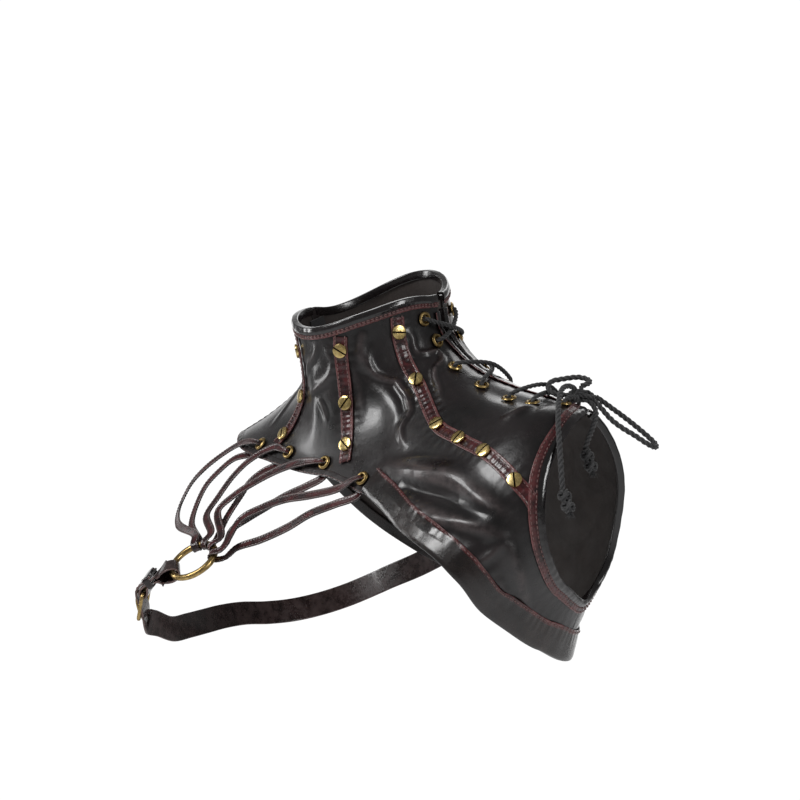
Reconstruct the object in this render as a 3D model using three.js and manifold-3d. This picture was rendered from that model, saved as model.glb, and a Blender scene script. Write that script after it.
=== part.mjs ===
// A laced leather gorget: a high collar with a yoke over both shoulders, laced on the wearer's left
// shoulder and zipped on the right one, with thongs, a ring and a buckled strap round the right side.
// Millimetres, +Z up. The wearer faces -Y, the wearer's left is +X, and the origin is the middle of
// the base of the neck.
import * as THREE from "three";
import { mergeVertices } from "three/addons/utils/BufferGeometryUtils.js";
import Module from "manifold-3d";

const wasm = await Module();
wasm.setup();

// Driving dimensions
const LEATHER = 1.8; // thickness of the panels
const TRIM = 1.2; // thickness of bindings and strips
const CLEARANCE = 0.15; // least gap between a trim and a panel
const SEAT = 0.6; // clear gap between a piece and the panel that carries it
const TOP = LEATHER + SEAT; // where a piece that lies on a panel starts
// Widths of the bindings on the outside, and on the inside
const EDGING = { collar: 7.6, lacing: 4.5, armhole: 10, hem: 20, inside: 5, insideLacing: 4, insideHem: 8 };
const STRIP_WIDTH = 10.5;
const STRIP_END = { from: 4, gap: 0.5, height: 9, steps: 42 };
const STUD = { radius: 5.5, height: 2, slot: 1.1, slotDepth: 0.7, seat: 0.4, sides: 10 };
const EYELET = { outer: 5.65, inner: 3.25, height: 1.1, hole: 3.4, seat: 1.3, turn: 0.3, sides: 8 };
const LACE = { radius: 1.8, sides: 5, over: 6.7, under: -4.2, stack: 3.9, turn: 4.2 };
const LACE_ENDS = { hole: [-0.2, 4.7], knotGap: 0.6 };
const CORD = { radius: 2.1, sides: 8 };
const THONG = { width: 7.5, neck: 4.4, thickness: 1.6, hole: [0.2, 4.4], over: 6.2, under: -2.4, turn: 3.8 };
const RING = { radius: 18.5, wire: 2.5, angle: -20.7, level: 6.94, lift: 7 };
const STRAP = { width: 20, atRing: 12, thickness: 1.6, slack: 2.3 };
const FROM_WIRE = { thong: 8, strap: 3 }; // how far from the ring's wire a band starts to turn round it
const BUCKLE = { at: 50, width: 28, length: 24, bar: 3.2, thickness: 2.6, lift: 6.2, corners: [4, 1.5] };

// The form that the leather lies on, level by level from the top of the collar down. The half width
// is given on each side, then the front and back, then the height of the level at the front, left,
// right and back, then the power of its outline, where 2 is an ellipse.
const COLUMNS = ["left", "right", "front", "back", "zFront", "zLeft", "zRight", "zBack", "power"];
const LEVELS = [
  [57, 57, -78, 38, 54, 78, 74, 104, 2.0],
  [56, 56, -70, 46, 24, 52, 50, 74, 2.0],
  [62, 62, -64, 56, -8, 34, 30, 46, 2.0],
  [88, 86, -66, 66, -38, 17, 10, 18, 2.0],
  [124, 118, -76, 78, -64, 4, -10, -16, 2.1],
  [160, 150, -88, 88, -90, -5, -25, -48, 2.2],
  [192, 180, -98, 96, -116, -16, -40, -80, 2.3],
  [214, 200, -108, 102, -140, -52, -74, -110, 2.3],
  [204, 196, -116, 106, -162, -105, -112, -136, 2.3],
  [176, 168, -122, 108, -182, -150, -152, -160, 2.25],
  [162, 152, -126, 108, -202, -182, -182, -184, 2.2],
  [157, 148, -128, 108, -222, -206, -206, -208, 2.15],
];
const LEVEL_SPACING = 28; // about the millimetres between two levels
const TILT_REACH = 3; // how far to each side of a seated piece the tilt of the leather is taken
const BUST = { left: 36, right: 84, x: 98, z: -200, spreadX: 44, spreadZ: 46 };

// The main folds of the leather: a route of [angle, level] points, the height and the half width.
const FOLDS = [
  { name: "chest crease, upper", route: [[39, 4.9], [46, 5.6], [51, 6.3]], height: 3.5, width: 10 },
  { name: "chest crease, lower", route: [[44, 6.3], [52, 7.0], [57, 7.35]], height: 3.5, width: 10 },
  { name: "chest hollow", route: [[37, 5.4], [46, 6.3], [54, 7.1]], height: -2.5, width: 9 },
  { name: "side crease", route: [[54, 7.3], [58, 7.7], [64, 8.1]], height: 2, width: 8 },
  { name: "neck crease", route: [[38, 0.9], [39, 1.8], [43, 2.6], [40, 3.4], [36, 4.0]],
    height: 2.5, width: 8 },
  { name: "lacing crease", route: [[74, 1.5], [73, 2.2], [71, 2.9], [68, 3.5]], height: 1.5, width: 6 },
  { name: "shoulder crease", route: [[66, 5.2], [72, 5.3], [80, 5.15]], height: 2, width: 8 },
  { name: "front crease", route: [[-10, 0.9], [-13, 1.9], [-11, 2.8]], height: 1.5, width: 8 },
  { name: "slope below the lacing", route: [[84, 3.2], [82, 4.0], [82, 4.8], [85, 5.5]],
    height: -4.5, width: 13 },
];

// The edges of the two panels, each a smooth run of [angle, level] points between two corners.
const COLLAR_LEVEL = 0.12;
const ZIP_FRONT = -78.2;
const ZIP_BACK = 276.2;
const ZIP_END = 4.85;
const SEAM_FRONT = 107.8;
const SEAM_BACK = 108.2;
const OUTLINE_STEP = { armhole: 7, other: 12 };
const LACING_BINDINGS = { front: [0.53, 5.45], back: [0.5, 5.45] }; // the levels that they run between
const FRONT = {
  collar: [[ZIP_FRONT, COLLAR_LEVEL], [-20, 0.12], [27, 0.1], [53, 0.15], [77, 0.15], [102, COLLAR_LEVEL]],
  lacing: [[102, COLLAR_LEVEL], [102, 1], [106, 2], [101, 3], [101, 4], [98.5, 5], [97, 5.85]],
  armhole: [[97, 5.85], [81, 6.36], [73, 6.64], [69, 6.94], [68.4, 7.2], [69, 7.46], [73, 7.91],
    [79, 8.27], [89, 8.66], [100, 8.92], [SEAM_FRONT, 9]],
  side: [[SEAM_FRONT, 9], [SEAM_FRONT, 10.5]],
  hem: [[SEAM_FRONT, 10.5], [90, 10.04], [74, 9.39], [60, 8.75], [47.5, 8], [39, 7.35], [33.6, 6.81],
    [28.8, 6.15], [24.5, 5.23], [20.5, 4.61]],
  yoke: [[20.5, 4.61], [15, 4.2], [5, 3.78], [-13, 3.7], [-31, 3.9], [-44, 4.22], [-59, 4.6],
    [ZIP_FRONT, ZIP_END]],
  zip: [[ZIP_FRONT, ZIP_END], [ZIP_FRONT, COLLAR_LEVEL]],
};
const BACK = {
  collar: [[ZIP_BACK, COLLAR_LEVEL], [190, COLLAR_LEVEL], [112, COLLAR_LEVEL]],
  lacing: [[112, COLLAR_LEVEL], [111, 1], [112.5, 2], [107, 3], [106.5, 4], [104, 5], [102.5, 5.85]],
  armhole: [[102.5, 5.85], [113, 6.4], [121, 6.9], [126, 7.5], [126, 8.1], [121, 8.6], [115, 8.85],
    [SEAM_BACK, 9]],
  side: [[SEAM_BACK, 9], [SEAM_BACK, 10.5]],
  hem: [[SEAM_BACK, 10.5], [130, 10.45], [150, 10], [170, 9], [190, 7.9], [210, 6.9], [230, 6.05],
    [250, 5.35], [ZIP_BACK, ZIP_END]],
  zip: [[ZIP_BACK, ZIP_END], [ZIP_BACK, COLLAR_LEVEL]],
};

// Trim on the panels: strips with their slotted studs, and the eyelets.
const STRIPS = [
  { name: "strip_left", route: [[21.8, 0.43], [20.3, 0.75], [17.3, 2.03], [14.6, 3.11], [13.5, 3.62]],
    studs: [[20.3, 0.75], [17.3, 2.03], [14.6, 3.11]], steps: 12 },
  { name: "strip_diagonal", route: [[63.2, 0.5], [62.1, 0.91], [58.7, 2.59], [51.7, 4.1], [53.4, 4.93],
    [55.6, 5.78], [60, 6.71], [63, 7.04], [66, 7.3]],
    studs: [[62.1, 0.91], [58.7, 2.59], [51.7, 4.1], [53.4, 4.93], [55.6, 5.78], [60, 6.71]], steps: 22 },
  { name: "strip_right", route: [[-35, 0.44], [-35, 2], [-35, 3.4], [-35, 3.62]],
    studs: [[-35.2, 0.86], [-35.1, 2.15], [-34.9, 3.3]], steps: 12 },
];
const LACING_FRONT = [[85, 0.72], [90, 1.55], [82.5, 2.75], [82, 3.6], [82, 4.4], [82.5, 5.1],
  [90, 5.58]];
const LACING_BACK = [[129, 0.72], [128, 1.55], [126, 2.75], [124, 3.5], [120.5, 4.3], [116, 4.85],
  [111.5, 5.25]];
const THONG_EYELETS = [[-44.8, 4.0], [-23, 3.5], [2.6, 3.5], [20.5, 4.3]];

// The strands of each thong from its eyelet to the ring, as [angle, level, lift above the form]:
// the near strand leaves the top of the eyelet, the far one comes from under the edge of the yoke.
const THONGS = [
  { onRing: 140,
    near: [[-55, 4.55, 4.5], [-58, 5.14, 3.5], [-57, 5.75, 3.5], [-58, 6.3, 3.5], [-55, 6.75, 4.5],
      [-46, 6.85, 6]],
    far: [[-37, 6.5, 4], [-43, 6.25, 3], [-47, 5.8, 3], [-49, 5.3, 3], [-49.5, 4.8, 2.4],
      [-47, 4.35, -1.8]] },
  { onRing: 108,
    near: [[-33, 3.7, 5], [-39, 4.39, 5], [-38.5, 4.96, 5], [-35, 5.57, 5.5], [-31.5, 6.0, 7.5]],
    far: [[-25.5, 5.7, 3], [-28.4, 5.05, 3], [-30.2, 4.72, 2.6], [-29.5, 4.3, 1.5], [-26, 3.85, -1.8]] },
  { onRing: 76,
    near: [[-9.8, 3.6, 5.5], [-18, 3.98, 7], [-24, 4.59, 8.5], [-27.5, 5.2, 9], [-27.5, 5.7, 9.5]],
    far: [[-20, 5.85, 2.5], [-17.8, 5.39, 2.5], [-14.6, 5.0, 2.5], [-10.2, 4.58, 2.3], [-3, 4.15, 0.5],
      [1.5, 3.85, -1.8]] },
  { onRing: 40,
    near: [[12, 4.4, 5], [1.8, 4.49, 5.5], [-7.3, 4.69, 6.5], [-14, 5.1, 7.5], [-17.5, 5.55, 8.5]],
    far: [[-14, 6.2, 2.5], [-9.1, 5.82, 2.3], [-3, 5.37, 2.3], [2, 4.98, 2.3], [10, 4.75, 1],
      [17, 4.62, -1.8]] },
];

// The strap: its route from the middle of the ring round the right side to the back panel.
const STRAP_ROUTE = [[-20.7, 6.94], [-24, 7.39], [-28, 7.83], [-32, 8.19], [-36, 8.49], [-41, 8.83],
  [-48, 9.3], [-57, 9.72], [-70, 9.79], [-88, 9.72], [-105, 9.73], [-125, 9.43], [-145, 8.82],
  [-160, 8.2], [-168, 7.75], [-174, 7.35]];
// Places on the straps by the buckle: along the line from the ring to the buckle, from the buckle's
// middle, with the height over the form there.
const RING_STRAP_BUCKLE_END = [[-18.8, 1.9], [-16, 3.5], [-13.2, 3.5], [-10.4, 3.2], [-7.6, 4.4], [-7, 6.2],
  [-7.8, 8.2], [-10.4, 9.3], [-13.5, 8.7], [-17.5, 5.8], [-22.5, 2.2], [-28, -1.8]];
const RING_STRAP_END = [[-26, -7.5], [-24.6, -3.8], [-23, -1.5], [-21.4, -0.3]];
const CHEST_STRAP_TAIL = [[-25.4, 3], [-21.9, 5.6], [-18.4, 8.2], [-15.9, 10.2]];
const CHEST_STRAP_BUCKLE = [[-13.3, 11.5], [-10.4, 11.9], [-6.5, 11], [-2.5, 8.6], [2, 6], [6, 4.2],
  [10.4, 3.2], [14.5, 1.4]];
const CHEST_STRAP_END = { from: 76, lyingLift: 2.2, onHemLift: 6.2, overlap: 46, climb: 26, spacing: 24 };
const KEEPER = { at: [-20.5, 3.6], tilt: 0.63, wide: 24, high: 10, long: 5, wall: 1.3, corners: [2, 1] };

// The bow: the knot over the last pair of eyelets, and the free stretches of the cord.
const KNOT = { centre: [177.4, 21.1, -1.2], size: [10.5, 6, 5], turn: 45 };
const BOW_SHORT = [[169.7, 12, -0.3], [165.1, 8.7, 0.1], [160.7, 7.8, 2], [157, 9.2, 4.9],
  [155, 12.4, 7.9], [155.1, 16.7, 10.2], [157.4, 20.9, 11.2], [165.5, 30.4, 13], [169, 32.8, 12.7],
  [173.5, 33.3, 11.6], [177.5, 31.6, 10], [179.9, 28, 8.3], [180.2, 23.5, 7], [179.2, 20.4, 6.1]];
const BOW_LONG = [[185.2, 29.7, -1.9], [187.2, 34.4, -5], [190.2, 41.7, -10], [193.7, 48.6, -15.1],
  [199.2, 56, -22], [207.6, 63.9, -31.8], [212.4, 63.8, -35.5], [216.6, 60.3, -38.1],
  [218.6, 54.6, -38.4], [217.8, 49, -36.4], [210.5, 41.9, -29.7], [204.6, 36.6, -24.9],
  [197.8, 32.3, -18.8], [192, 29.6, -11.9], [187.3, 27.5, -5.8]];
const TAIL_FRONT = [[176.3, 15.7, 4.3], [177.5, 9.2, 5.7], [179.6, 0.7, 4.9], [183.8, -8.5, 0.7],
  [190.1, -17.8, -6.4], [197.3, -26.9, -15.1], [203.6, -34, -26.5], [208.7, -38.7, -38.5],
  [212.5, -42.1, -49.7], [214.2, -43.2, -59.4], [215.2, -43.4, -67.7]];
const TAIL_BACK = [[185.6, 23.7, -6.4], [189, 23.6, -10.3], [192.6, 20.8, -15.3], [195.4, 15, -21.5],
  [197.8, 8.3, -28.4], [200, 2, -34.5], [202.1, -3, -39.9]];
const TAIL_KNOT = { size: [5.6, 5.6, 8.5], reach: 9.2, hang: [0.3, 0.1, -0.95] };

const ZIP = { from: 0.41, middle: 2.4, to: 4.54, tape: 9, teeth: [2.4, 1.7], steps: 22 };
const ZIP_LIFTS = { bottom: -1.6, tapeTop: -0.5, teethTop: 1.7 };

const COLOURS = {
  leather: { color: 0x1b1516, roughness: 0.38, metalness: 0 },
  oxblood: { color: 0x3a1619, roughness: 0.36, metalness: 0 },
  brass: { color: 0xa8823a, roughness: 0.35, metalness: 1 },
  cord: { color: 0x141415, roughness: 0.8, metalness: 0 },
};

const radians = THREE.MathUtils.degToRad;
const vector = (point) => new THREE.Vector3(...point);
const UP = new THREE.Vector3(0, 0, 1);

// The sizes of the form at a level, on a smooth curve through the table.
function levelSizes(level) {
  const last = LEVELS.length - 1;
  const from = THREE.MathUtils.clamp(Math.floor(level), 0, last - 1);
  const part = THREE.MathUtils.clamp(level, 0, last) - from;
  const sizes = {};
  COLUMNS.forEach((name, column) => {
    const p1 = LEVELS[from][column];
    const p2 = LEVELS[from + 1][column];
    const p0 = from > 0 ? LEVELS[from - 1][column] : 2 * p1 - p2;
    const p3 = from < last - 1 ? LEVELS[from + 2][column] : 2 * p2 - p1;
    const linear = p2 - p0;
    const square = 2 * p0 - 5 * p1 + 4 * p2 - p3;
    const cube = p3 - p0 + 3 * (p1 - p2);
    sizes[name] = 0.5 * (2 * p1 + part * (linear + part * (square + part * cube)));
  });
  return sizes;
}

// A point of the form. The angle is in degrees: 0 is the front, 90 the wearer's left, 180 the back.
function formPoint(angle, level) {
  const sizes = levelSizes(level);
  const sine = Math.sin(radians(angle));
  const cosine = Math.cos(radians(angle));
  const onLeft = sine > 0;
  const inFront = cosine > 0;
  const power = 2 / sizes.power;
  const depth = (sizes.back - sizes.front) / 2;
  const x = (onLeft ? sizes.left : sizes.right) * Math.sign(sine) * Math.abs(sine) ** power;
  const y = (sizes.back + sizes.front) / 2 - depth * Math.sign(cosine) * Math.abs(cosine) ** power;
  const zSide = onLeft ? sizes.zLeft : sizes.zRight;
  const zEnd = inFront ? sizes.zFront : sizes.zBack;
  const z = sine ** 2 * zSide + cosine ** 2 * zEnd;
  const across = (Math.abs(x) - BUST.x) / BUST.spreadX;
  const along = (z - BUST.z) / BUST.spreadZ;
  const most = (x > 0 ? BUST.left : BUST.right) * Math.max(cosine, 0);
  return new THREE.Vector3(x, y - most * Math.exp(-(across ** 2 + along ** 2) / 2), z);
}

// The direction on the form of a growing angle, of a growing level, and outwards.
function formFrame(angle, level) {
  const perAngle = formPoint(angle + 0.5, level).sub(formPoint(angle - 0.5, level));
  const perLevel = formPoint(angle, level + 0.02).sub(formPoint(angle, level - 0.02)).divideScalar(0.04);
  const outwards = perLevel.clone().cross(perAngle).normalize();
  return { perAngle, perLevel, outwards };
}

const foldLines = FOLDS.map(({ route, height, width }) => ({
  points: smoothRoute(route, 10).map(({ angle, level }) => formPoint(angle, level)),
  height,
  width,
}));

// How far the folds lift the leather off the form at a point of it.
function foldLift(point) {
  let lift = 0;
  for (const { points, height, width } of foldLines) {
    let nearest = Infinity;
    let place = 0;
    points.forEach((on, index) => {
      const distance = on.distanceTo(point);
      if (distance < nearest) {
        nearest = distance;
        place = index / (points.length - 1);
      }
    });
    lift += height * Math.sin(Math.PI * (0.08 + 0.84 * place)) * Math.exp(-((nearest / width) ** 2));
  }
  return lift;
}

// A point at a height above the form, folds included.
function lay(angle, level, lift) {
  const point = formPoint(angle, level);
  const { outwards } = formFrame(angle, level);
  return point.addScaledVector(outwards, lift + foldLift(point));
}

// The directions on the folded leather of a growing angle and outwards, from points a little to each side.
function leatherFrame(angle, level) {
  const { perAngle: onForm, perLevel } = formFrame(angle, level);
  const [across, down] = [TILT_REACH / onForm.length(), TILT_REACH / perLevel.length()];
  const perAngle = lay(angle + across, level, 0).sub(lay(angle - across, level, 0));
  const outwards = lay(angle, level + down, 0).sub(lay(angle, level - down, 0)).cross(perAngle).normalize();
  return { perAngle, outwards };
}

// The place on the form reached from an angle and level by a short step along it, in millimetres.
function stepAlong(angle, level, step) {
  const { perAngle, perLevel } = formFrame(angle, level);
  const aa = perAngle.dot(perAngle);
  const ab = perAngle.dot(perLevel);
  const bb = perLevel.dot(perLevel);
  const pa = perAngle.dot(step);
  const pb = perLevel.dot(step);
  const size = aa * bb - ab * ab;
  return [angle + (pa * bb - pb * ab) / size, level + (pb * aa - pa * ab) / size];
}

// Evenly spaced places on a smooth curve through [angle, level, lift] points.
function smoothRoute(route, steps) {
  const points = route.map(([angle, level, lift = 0]) => vector([angle, level * LEVEL_SPACING, lift]));
  const curve = new THREE.CatmullRomCurve3(points, false, "centripetal");
  return curve.getSpacedPoints(steps).map((p) => ({ angle: p.x, level: p.y / LEVEL_SPACING, lift: p.z }));
}

function merged(geometry) {
  const bare = geometry.clone();
  bare.deleteAttribute("normal");
  bare.deleteAttribute("uv");
  return mergeVertices(bare, 1e-4);
}

// Turns a closed geometry's faces outwards.
function outward(geometry) {
  const position = geometry.attributes.position;
  const index = geometry.index.array;
  const [a, b, c] = [new THREE.Vector3(), new THREE.Vector3(), new THREE.Vector3()];
  let volume = 0;
  for (let i = 0; i < index.length; i += 3) {
    a.fromBufferAttribute(position, index[i]);
    b.fromBufferAttribute(position, index[i + 1]);
    c.fromBufferAttribute(position, index[i + 2]);
    volume += a.dot(b.cross(c));
  }
  if (volume < 0) {
    for (let i = 0; i < index.length; i += 3) [index[i], index[i + 1]] = [index[i + 1], index[i]];
  }
  geometry.computeVertexNormals();
  return geometry;
}

function solidOf(geometry) {
  const closed = outward(merged(geometry));
  const vertProperties = closed.attributes.position.array;
  const triVerts = new Uint32Array(closed.index.array);
  return new wasm.Manifold(new wasm.Mesh({ numProp: 3, vertProperties, triVerts }));
}

function geometryOf(solid) {
  const mesh = solid.getMesh();
  const geometry = new THREE.BufferGeometry();
  const points = new Float32Array(mesh.numVert * 3);
  for (let i = 0; i < mesh.numVert; i++) {
    points.set(mesh.vertProperties.subarray(i * mesh.numProp, i * mesh.numProp + 3), i * 3);
  }
  geometry.setAttribute("position", new THREE.BufferAttribute(points, 3));
  geometry.setIndex(Array.from(mesh.triVerts));
  return geometry;
}

// A closed skin through rings of points that all follow one section. Without closed ends, the last
// ring joins the first.
function skin(rings, section, endless = false) {
  const count = section.length;
  const points = rings.flat().flatMap((p) => [p.x, p.y, p.z]);
  const faces = [];
  const spans = endless ? rings.length : rings.length - 1;
  for (let ring = 0; ring < spans; ring++) {
    const here = ring * count;
    const there = ((ring + 1) % rings.length) * count;
    for (let i = 0; i < count; i++) {
      const next = (i + 1) % count;
      faces.push(here + i, here + next, there + next, here + i, there + next, there + i);
    }
  }
  if (!endless) {
    const cap = THREE.ShapeUtils.triangulateShape(section.map(([x, y]) => new THREE.Vector2(x, y)), []);
    const last = (rings.length - 1) * count;
    const forwards = THREE.ShapeUtils.area(section.map(([x, y]) => ({ x, y }))) > 0;
    for (const [a, b, c] of cap) {
      if (forwards) faces.push(a, c, b, last + a, last + b, last + c);
      else faces.push(a, b, c, last + a, last + c, last + b);
    }
  }
  const geometry = new THREE.BufferGeometry();
  geometry.setAttribute("position", new THREE.BufferAttribute(new Float32Array(points), 3));
  geometry.setIndex(faces);
  return outward(geometry);
}

// A section of [across, lift] corners drawn along a route on the form. Across grows to the left of
// the direction of travel, seen from outside.
function alongForm(route, steps, sectionAt) {
  const places = smoothRoute(route, steps);
  const on = places.map(({ angle, level }) => formPoint(angle, level));
  const rings = places.map(({ angle, level, lift }, index) => {
    const { outwards } = formFrame(angle, level);
    const ahead = on[Math.min(index + 1, steps)].clone().sub(on[Math.max(index - 1, 0)]);
    const across = outwards.clone().cross(ahead).normalize();
    return sectionAt(index).map(([side, rise]) => {
      const [a, l] = stepAlong(angle, level, across.clone().multiplyScalar(side));
      return lay(a, l, lift + rise);
    });
  });
  return skin(rings, sectionAt(0));
}

// A folded edging round the edge of a panel, wider outside than inside.
function edging(route, steps, width, side, inside = EDGING.inside) {
  const out = -SEAT - TRIM;
  const top = TOP + TRIM;
  const bottom = -SEAT - TRIM;
  const section = [[out, bottom], [inside, bottom], [inside, -SEAT], [-SEAT, -SEAT], [-SEAT, TOP],
    [width, TOP], [width, top], [out, top]].map(([across, rise]) => [across * side, rise]);
  return alongForm(route, steps, () => section);
}

// The points of a closed outline: each edge is smooth, with a corner between two edges.
function outlineOf(edges) {
  return Object.values(edges).flatMap((edge) => {
    const points = edge.map(([angle, level]) => new THREE.Vector3(angle, level * LEVEL_SPACING, 0));
    const curve = new THREE.CatmullRomCurve3(points, false, "centripetal");
    const step = edge === edges.armhole ? OUTLINE_STEP.armhole : OUTLINE_STEP.other;
    const steps = Math.max(1, Math.round(curve.getLength() / step));
    return curve.getSpacedPoints(edge.length === 2 ? 1 : steps).slice(0, -1);
  });
}

// A panel of leather: a thin slab of cells, cut to its outline with the eyelet holes, laid on the form.
// With a clearance it's thicker than the leather, to be cut out of what lies on it.
function panel({ edges, holes, columns, rows }, clearance = 0) {
  const outline = outlineOf(edges).map((p) => new THREE.Vector2(p.x, p.y));
  const box = new THREE.Box2().setFromPoints(outline);
  const middle = box.getCenter(new THREE.Vector2());
  const size = box.getSize(new THREE.Vector2()).addScalar(1);
  // A slight dish keeps the cells of the slab apart while it is cut.
  const dish = (x, y) => 1e-4 * (x * x + y * y);
  const slab = new THREE.BoxGeometry(size.x, size.y, LEATHER, columns, rows, 1);
  const corners = slab.attributes.position;
  for (let i = 0; i < corners.count; i++) {
    corners.setZ(i, corners.getZ(i) + LEATHER / 2 + dish(corners.getX(i), corners.getY(i)));
  }
  const shape = new THREE.Shape(outline.map((p) => p.clone().sub(middle)));
  for (const [angle, level] of holes) {
    const { perAngle, perLevel } = formFrame(angle, level);
    const hole = new THREE.Path();
    const acrossAngle = EYELET.hole / perAngle.length();
    const acrossLevel = (EYELET.hole / perLevel.length()) * LEVEL_SPACING;
    const [x, y] = [angle - middle.x, level * LEVEL_SPACING - middle.y];
    for (let i = 0; i < EYELET.sides; i++) {
      const turn = (i / EYELET.sides) * 2 * Math.PI;
      const corner = [x + acrossAngle * Math.cos(turn), y + acrossLevel * Math.sin(turn)];
      if (i) hole.lineTo(...corner);
      else hole.moveTo(...corner);
    }
    shape.holes.push(hole);
  }
  const cutter = new THREE.ExtrudeGeometry(shape, { depth: 20, bevelEnabled: false });
  cutter.translate(0, 0, -8);
  const cut = geometryOf(solidOf(slab).intersect(solidOf(cutter)));
  const flat = cut.attributes.position;
  for (let i = 0; i < flat.count; i++) {
    const [x, y, z] = [flat.getX(i), flat.getY(i), flat.getZ(i)];
    const lift = z - dish(x, y) > LEATHER / 2 ? LEATHER + clearance : -clearance;
    const laid = lay(x + middle.x, (y + middle.y) / LEVEL_SPACING, lift);
    flat.setXYZ(i, laid.x, laid.y, laid.z);
  }
  return outward(cut);
}

// A smooth curve with as many samples between any two of its points, so that tight turns stay round.
class CurveByPoints extends THREE.CatmullRomCurve3 {
  getUtoTmapping(share) {
    return share;
  }
}

// A round tube through points, with flat ends.
function tube(points, radius, sides, steps, Curve = THREE.CatmullRomCurve3) {
  const section = new THREE.Shape();
  for (let i = 0; i < sides; i++) {
    const turn = (i / sides) * 2 * Math.PI;
    if (i) section.lineTo(radius * Math.cos(turn), radius * Math.sin(turn));
    else section.moveTo(radius, 0);
  }
  const extrudePath = new Curve(points, false, "centripetal");
  return outward(merged(new THREE.ExtrudeGeometry(section, { steps, extrudePath, bevelEnabled: false })));
}

// A flat band through stations, each with a point, the outward direction there and the band's width.
function band(stations, thickness, perSpan, endless = false) {
  const curve = new THREE.CatmullRomCurve3(stations.map(({ point }) => point), endless, "centripetal");
  const spans = endless ? stations.length : stations.length - 1;
  const rings = [];
  let face = null;
  for (let i = 0; i < spans * perSpan + (endless ? 0 : 1); i++) {
    const before = stations[Math.min(Math.floor(i / perSpan), stations.length - 1)];
    const after = stations[(Math.floor(i / perSpan) + 1) % stations.length];
    const part = (i % perSpan) / perSpan;
    const centre = curve.getPoint(i / (spans * perSpan));
    const ahead = curve.getTangent(i / (spans * perSpan));
    const outwards = before.outwards.clone().lerp(after.outwards, part);
    outwards.addScaledVector(ahead, -outwards.dot(ahead));
    // A turn folds the band over, so its face may look in, and then it stays that way.
    if (!face) face = outwards.clone();
    face.addScaledVector(ahead, -face.dot(ahead)).normalize();
    face.addScaledVector(outwards, (outwards.dot(face) < 0 ? -3 : 3) * outwards.length()).normalize();
    const across = ahead.clone().cross(face);
    const half = THREE.MathUtils.lerp(before.width, after.width, part) / 2;
    const thick = thickness / 2;
    rings.push([[-half, -thick], [half, -thick], [half, thick], [-half, thick]].map(([x, y]) =>
      centre.clone().addScaledVector(across, x).addScaledVector(face, y)));
  }
  return skin(rings, [[-1, -1], [1, -1], [1, 1], [-1, 1]], endless);
}

function stationOnForm(angle, level, lift, width) {
  return { point: lay(angle, level, lift), outwards: formFrame(angle, level).outwards, width };
}

const gorget = new THREE.Group();

function add(name, geometry, colour) {
  const mesh = new THREE.Mesh(geometry, new THREE.MeshStandardMaterial(COLOURS[colour]));
  mesh.name = name;
  gorget.add(mesh);
  return mesh;
}

// Sets a piece that was made round +Z on the form, turned about its axis.
function seat(mesh, angle, level, lift, turn = 0) {
  const { perAngle, outwards } = leatherFrame(angle, level);
  const side = perAngle.addScaledVector(outwards, -perAngle.dot(outwards)).normalize();
  const up = outwards.clone().cross(side);
  mesh.quaternion.setFromRotationMatrix(new THREE.Matrix4().makeBasis(side, up, outwards));
  mesh.rotateZ(turn);
  mesh.position.copy(lay(angle, level, lift));
}

const PANELS = {
  front_panel: { edges: FRONT, holes: [...LACING_FRONT, ...THONG_EYELETS], columns: 25, rows: 21 },
  back_panel: { edges: BACK, holes: LACING_BACK, columns: 22, rows: 18 },
};

function addPanels() {
  for (const [name, sizes] of Object.entries(PANELS)) add(name, panel(sizes), "leather");
}

// A piece without what comes closer to the panels than the clearance.
const thickPanels = Object.values(PANELS).map((sizes) => solidOf(panel({ ...sizes, holes: [] }, CLEARANCE)));

function clearOfPanels(geometry) {
  return outward(geometryOf(thickPanels.reduce((solid, panel) => solid.subtract(panel), solidOf(geometry))));
}

const SEAM = (SEAM_FRONT + SEAM_BACK) / 2;
const ROUND_ARMHOLE = [...FRONT.armhole.slice(0, -1), [SEAM, 9], ...BACK.armhole.slice(0, -1).reverse()];

// A strip cut off along the armhole's binding, a small gap before it.
function clearOfArmhole(geometry) {
  const { from, gap, height, steps } = STRIP_END;
  const to = -EDGING.armhole - gap;
  const section = [[from, -height], [from, height], [to, height], [to, -height]];
  const block = alongForm(ROUND_ARMHOLE, steps, () => section);
  return outward(geometryOf(solidOf(geometry).subtract(solidOf(block))));
}

// Part of an edge that runs down, from where the collar's binding ends.
function below(edge, from, to) {
  const inner = edge.filter(([, level]) => level > from + 0.2 && level < to - 0.2);
  const at = (level) => {
    const index = edge.findIndex(([, l]) => l >= level);
    const [a, b] = [edge[index - 1], edge[index]];
    return [a[0] + ((b[0] - a[0]) * (level - a[1])) / (b[1] - a[1]), level];
  };
  return [at(from), ...inner, at(to)];
}

function addEdgings() {
  const { collar, lacing, armhole, hem } = EDGING;
  add("collar_binding_front", edging(FRONT.collar, 17, collar, -1), "oxblood");
  add("collar_binding_back", edging(BACK.collar, 15, collar, 1), "oxblood");
  const alongFront = below(FRONT.lacing, ...LACING_BINDINGS.front);
  const alongBack = below(BACK.lacing, ...LACING_BINDINGS.back);
  add("lacing_binding_front", edging(alongFront, 13, lacing, -1, EDGING.insideLacing), "oxblood");
  add("lacing_binding_back", edging(alongBack, 13, lacing, 1, EDGING.insideLacing), "oxblood");
  add("armhole_binding", clearOfPanels(edging(ROUND_ARMHOLE, 42, armhole, -1)), "oxblood");
  const low = [...FRONT.hem.slice(1).reverse(), [SEAM, 10.5], ...BACK.hem.slice(1)];
  add("hem_band", clearOfPanels(edging(low, 36, hem, 1, EDGING.insideHem)), "leather");
}

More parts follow.
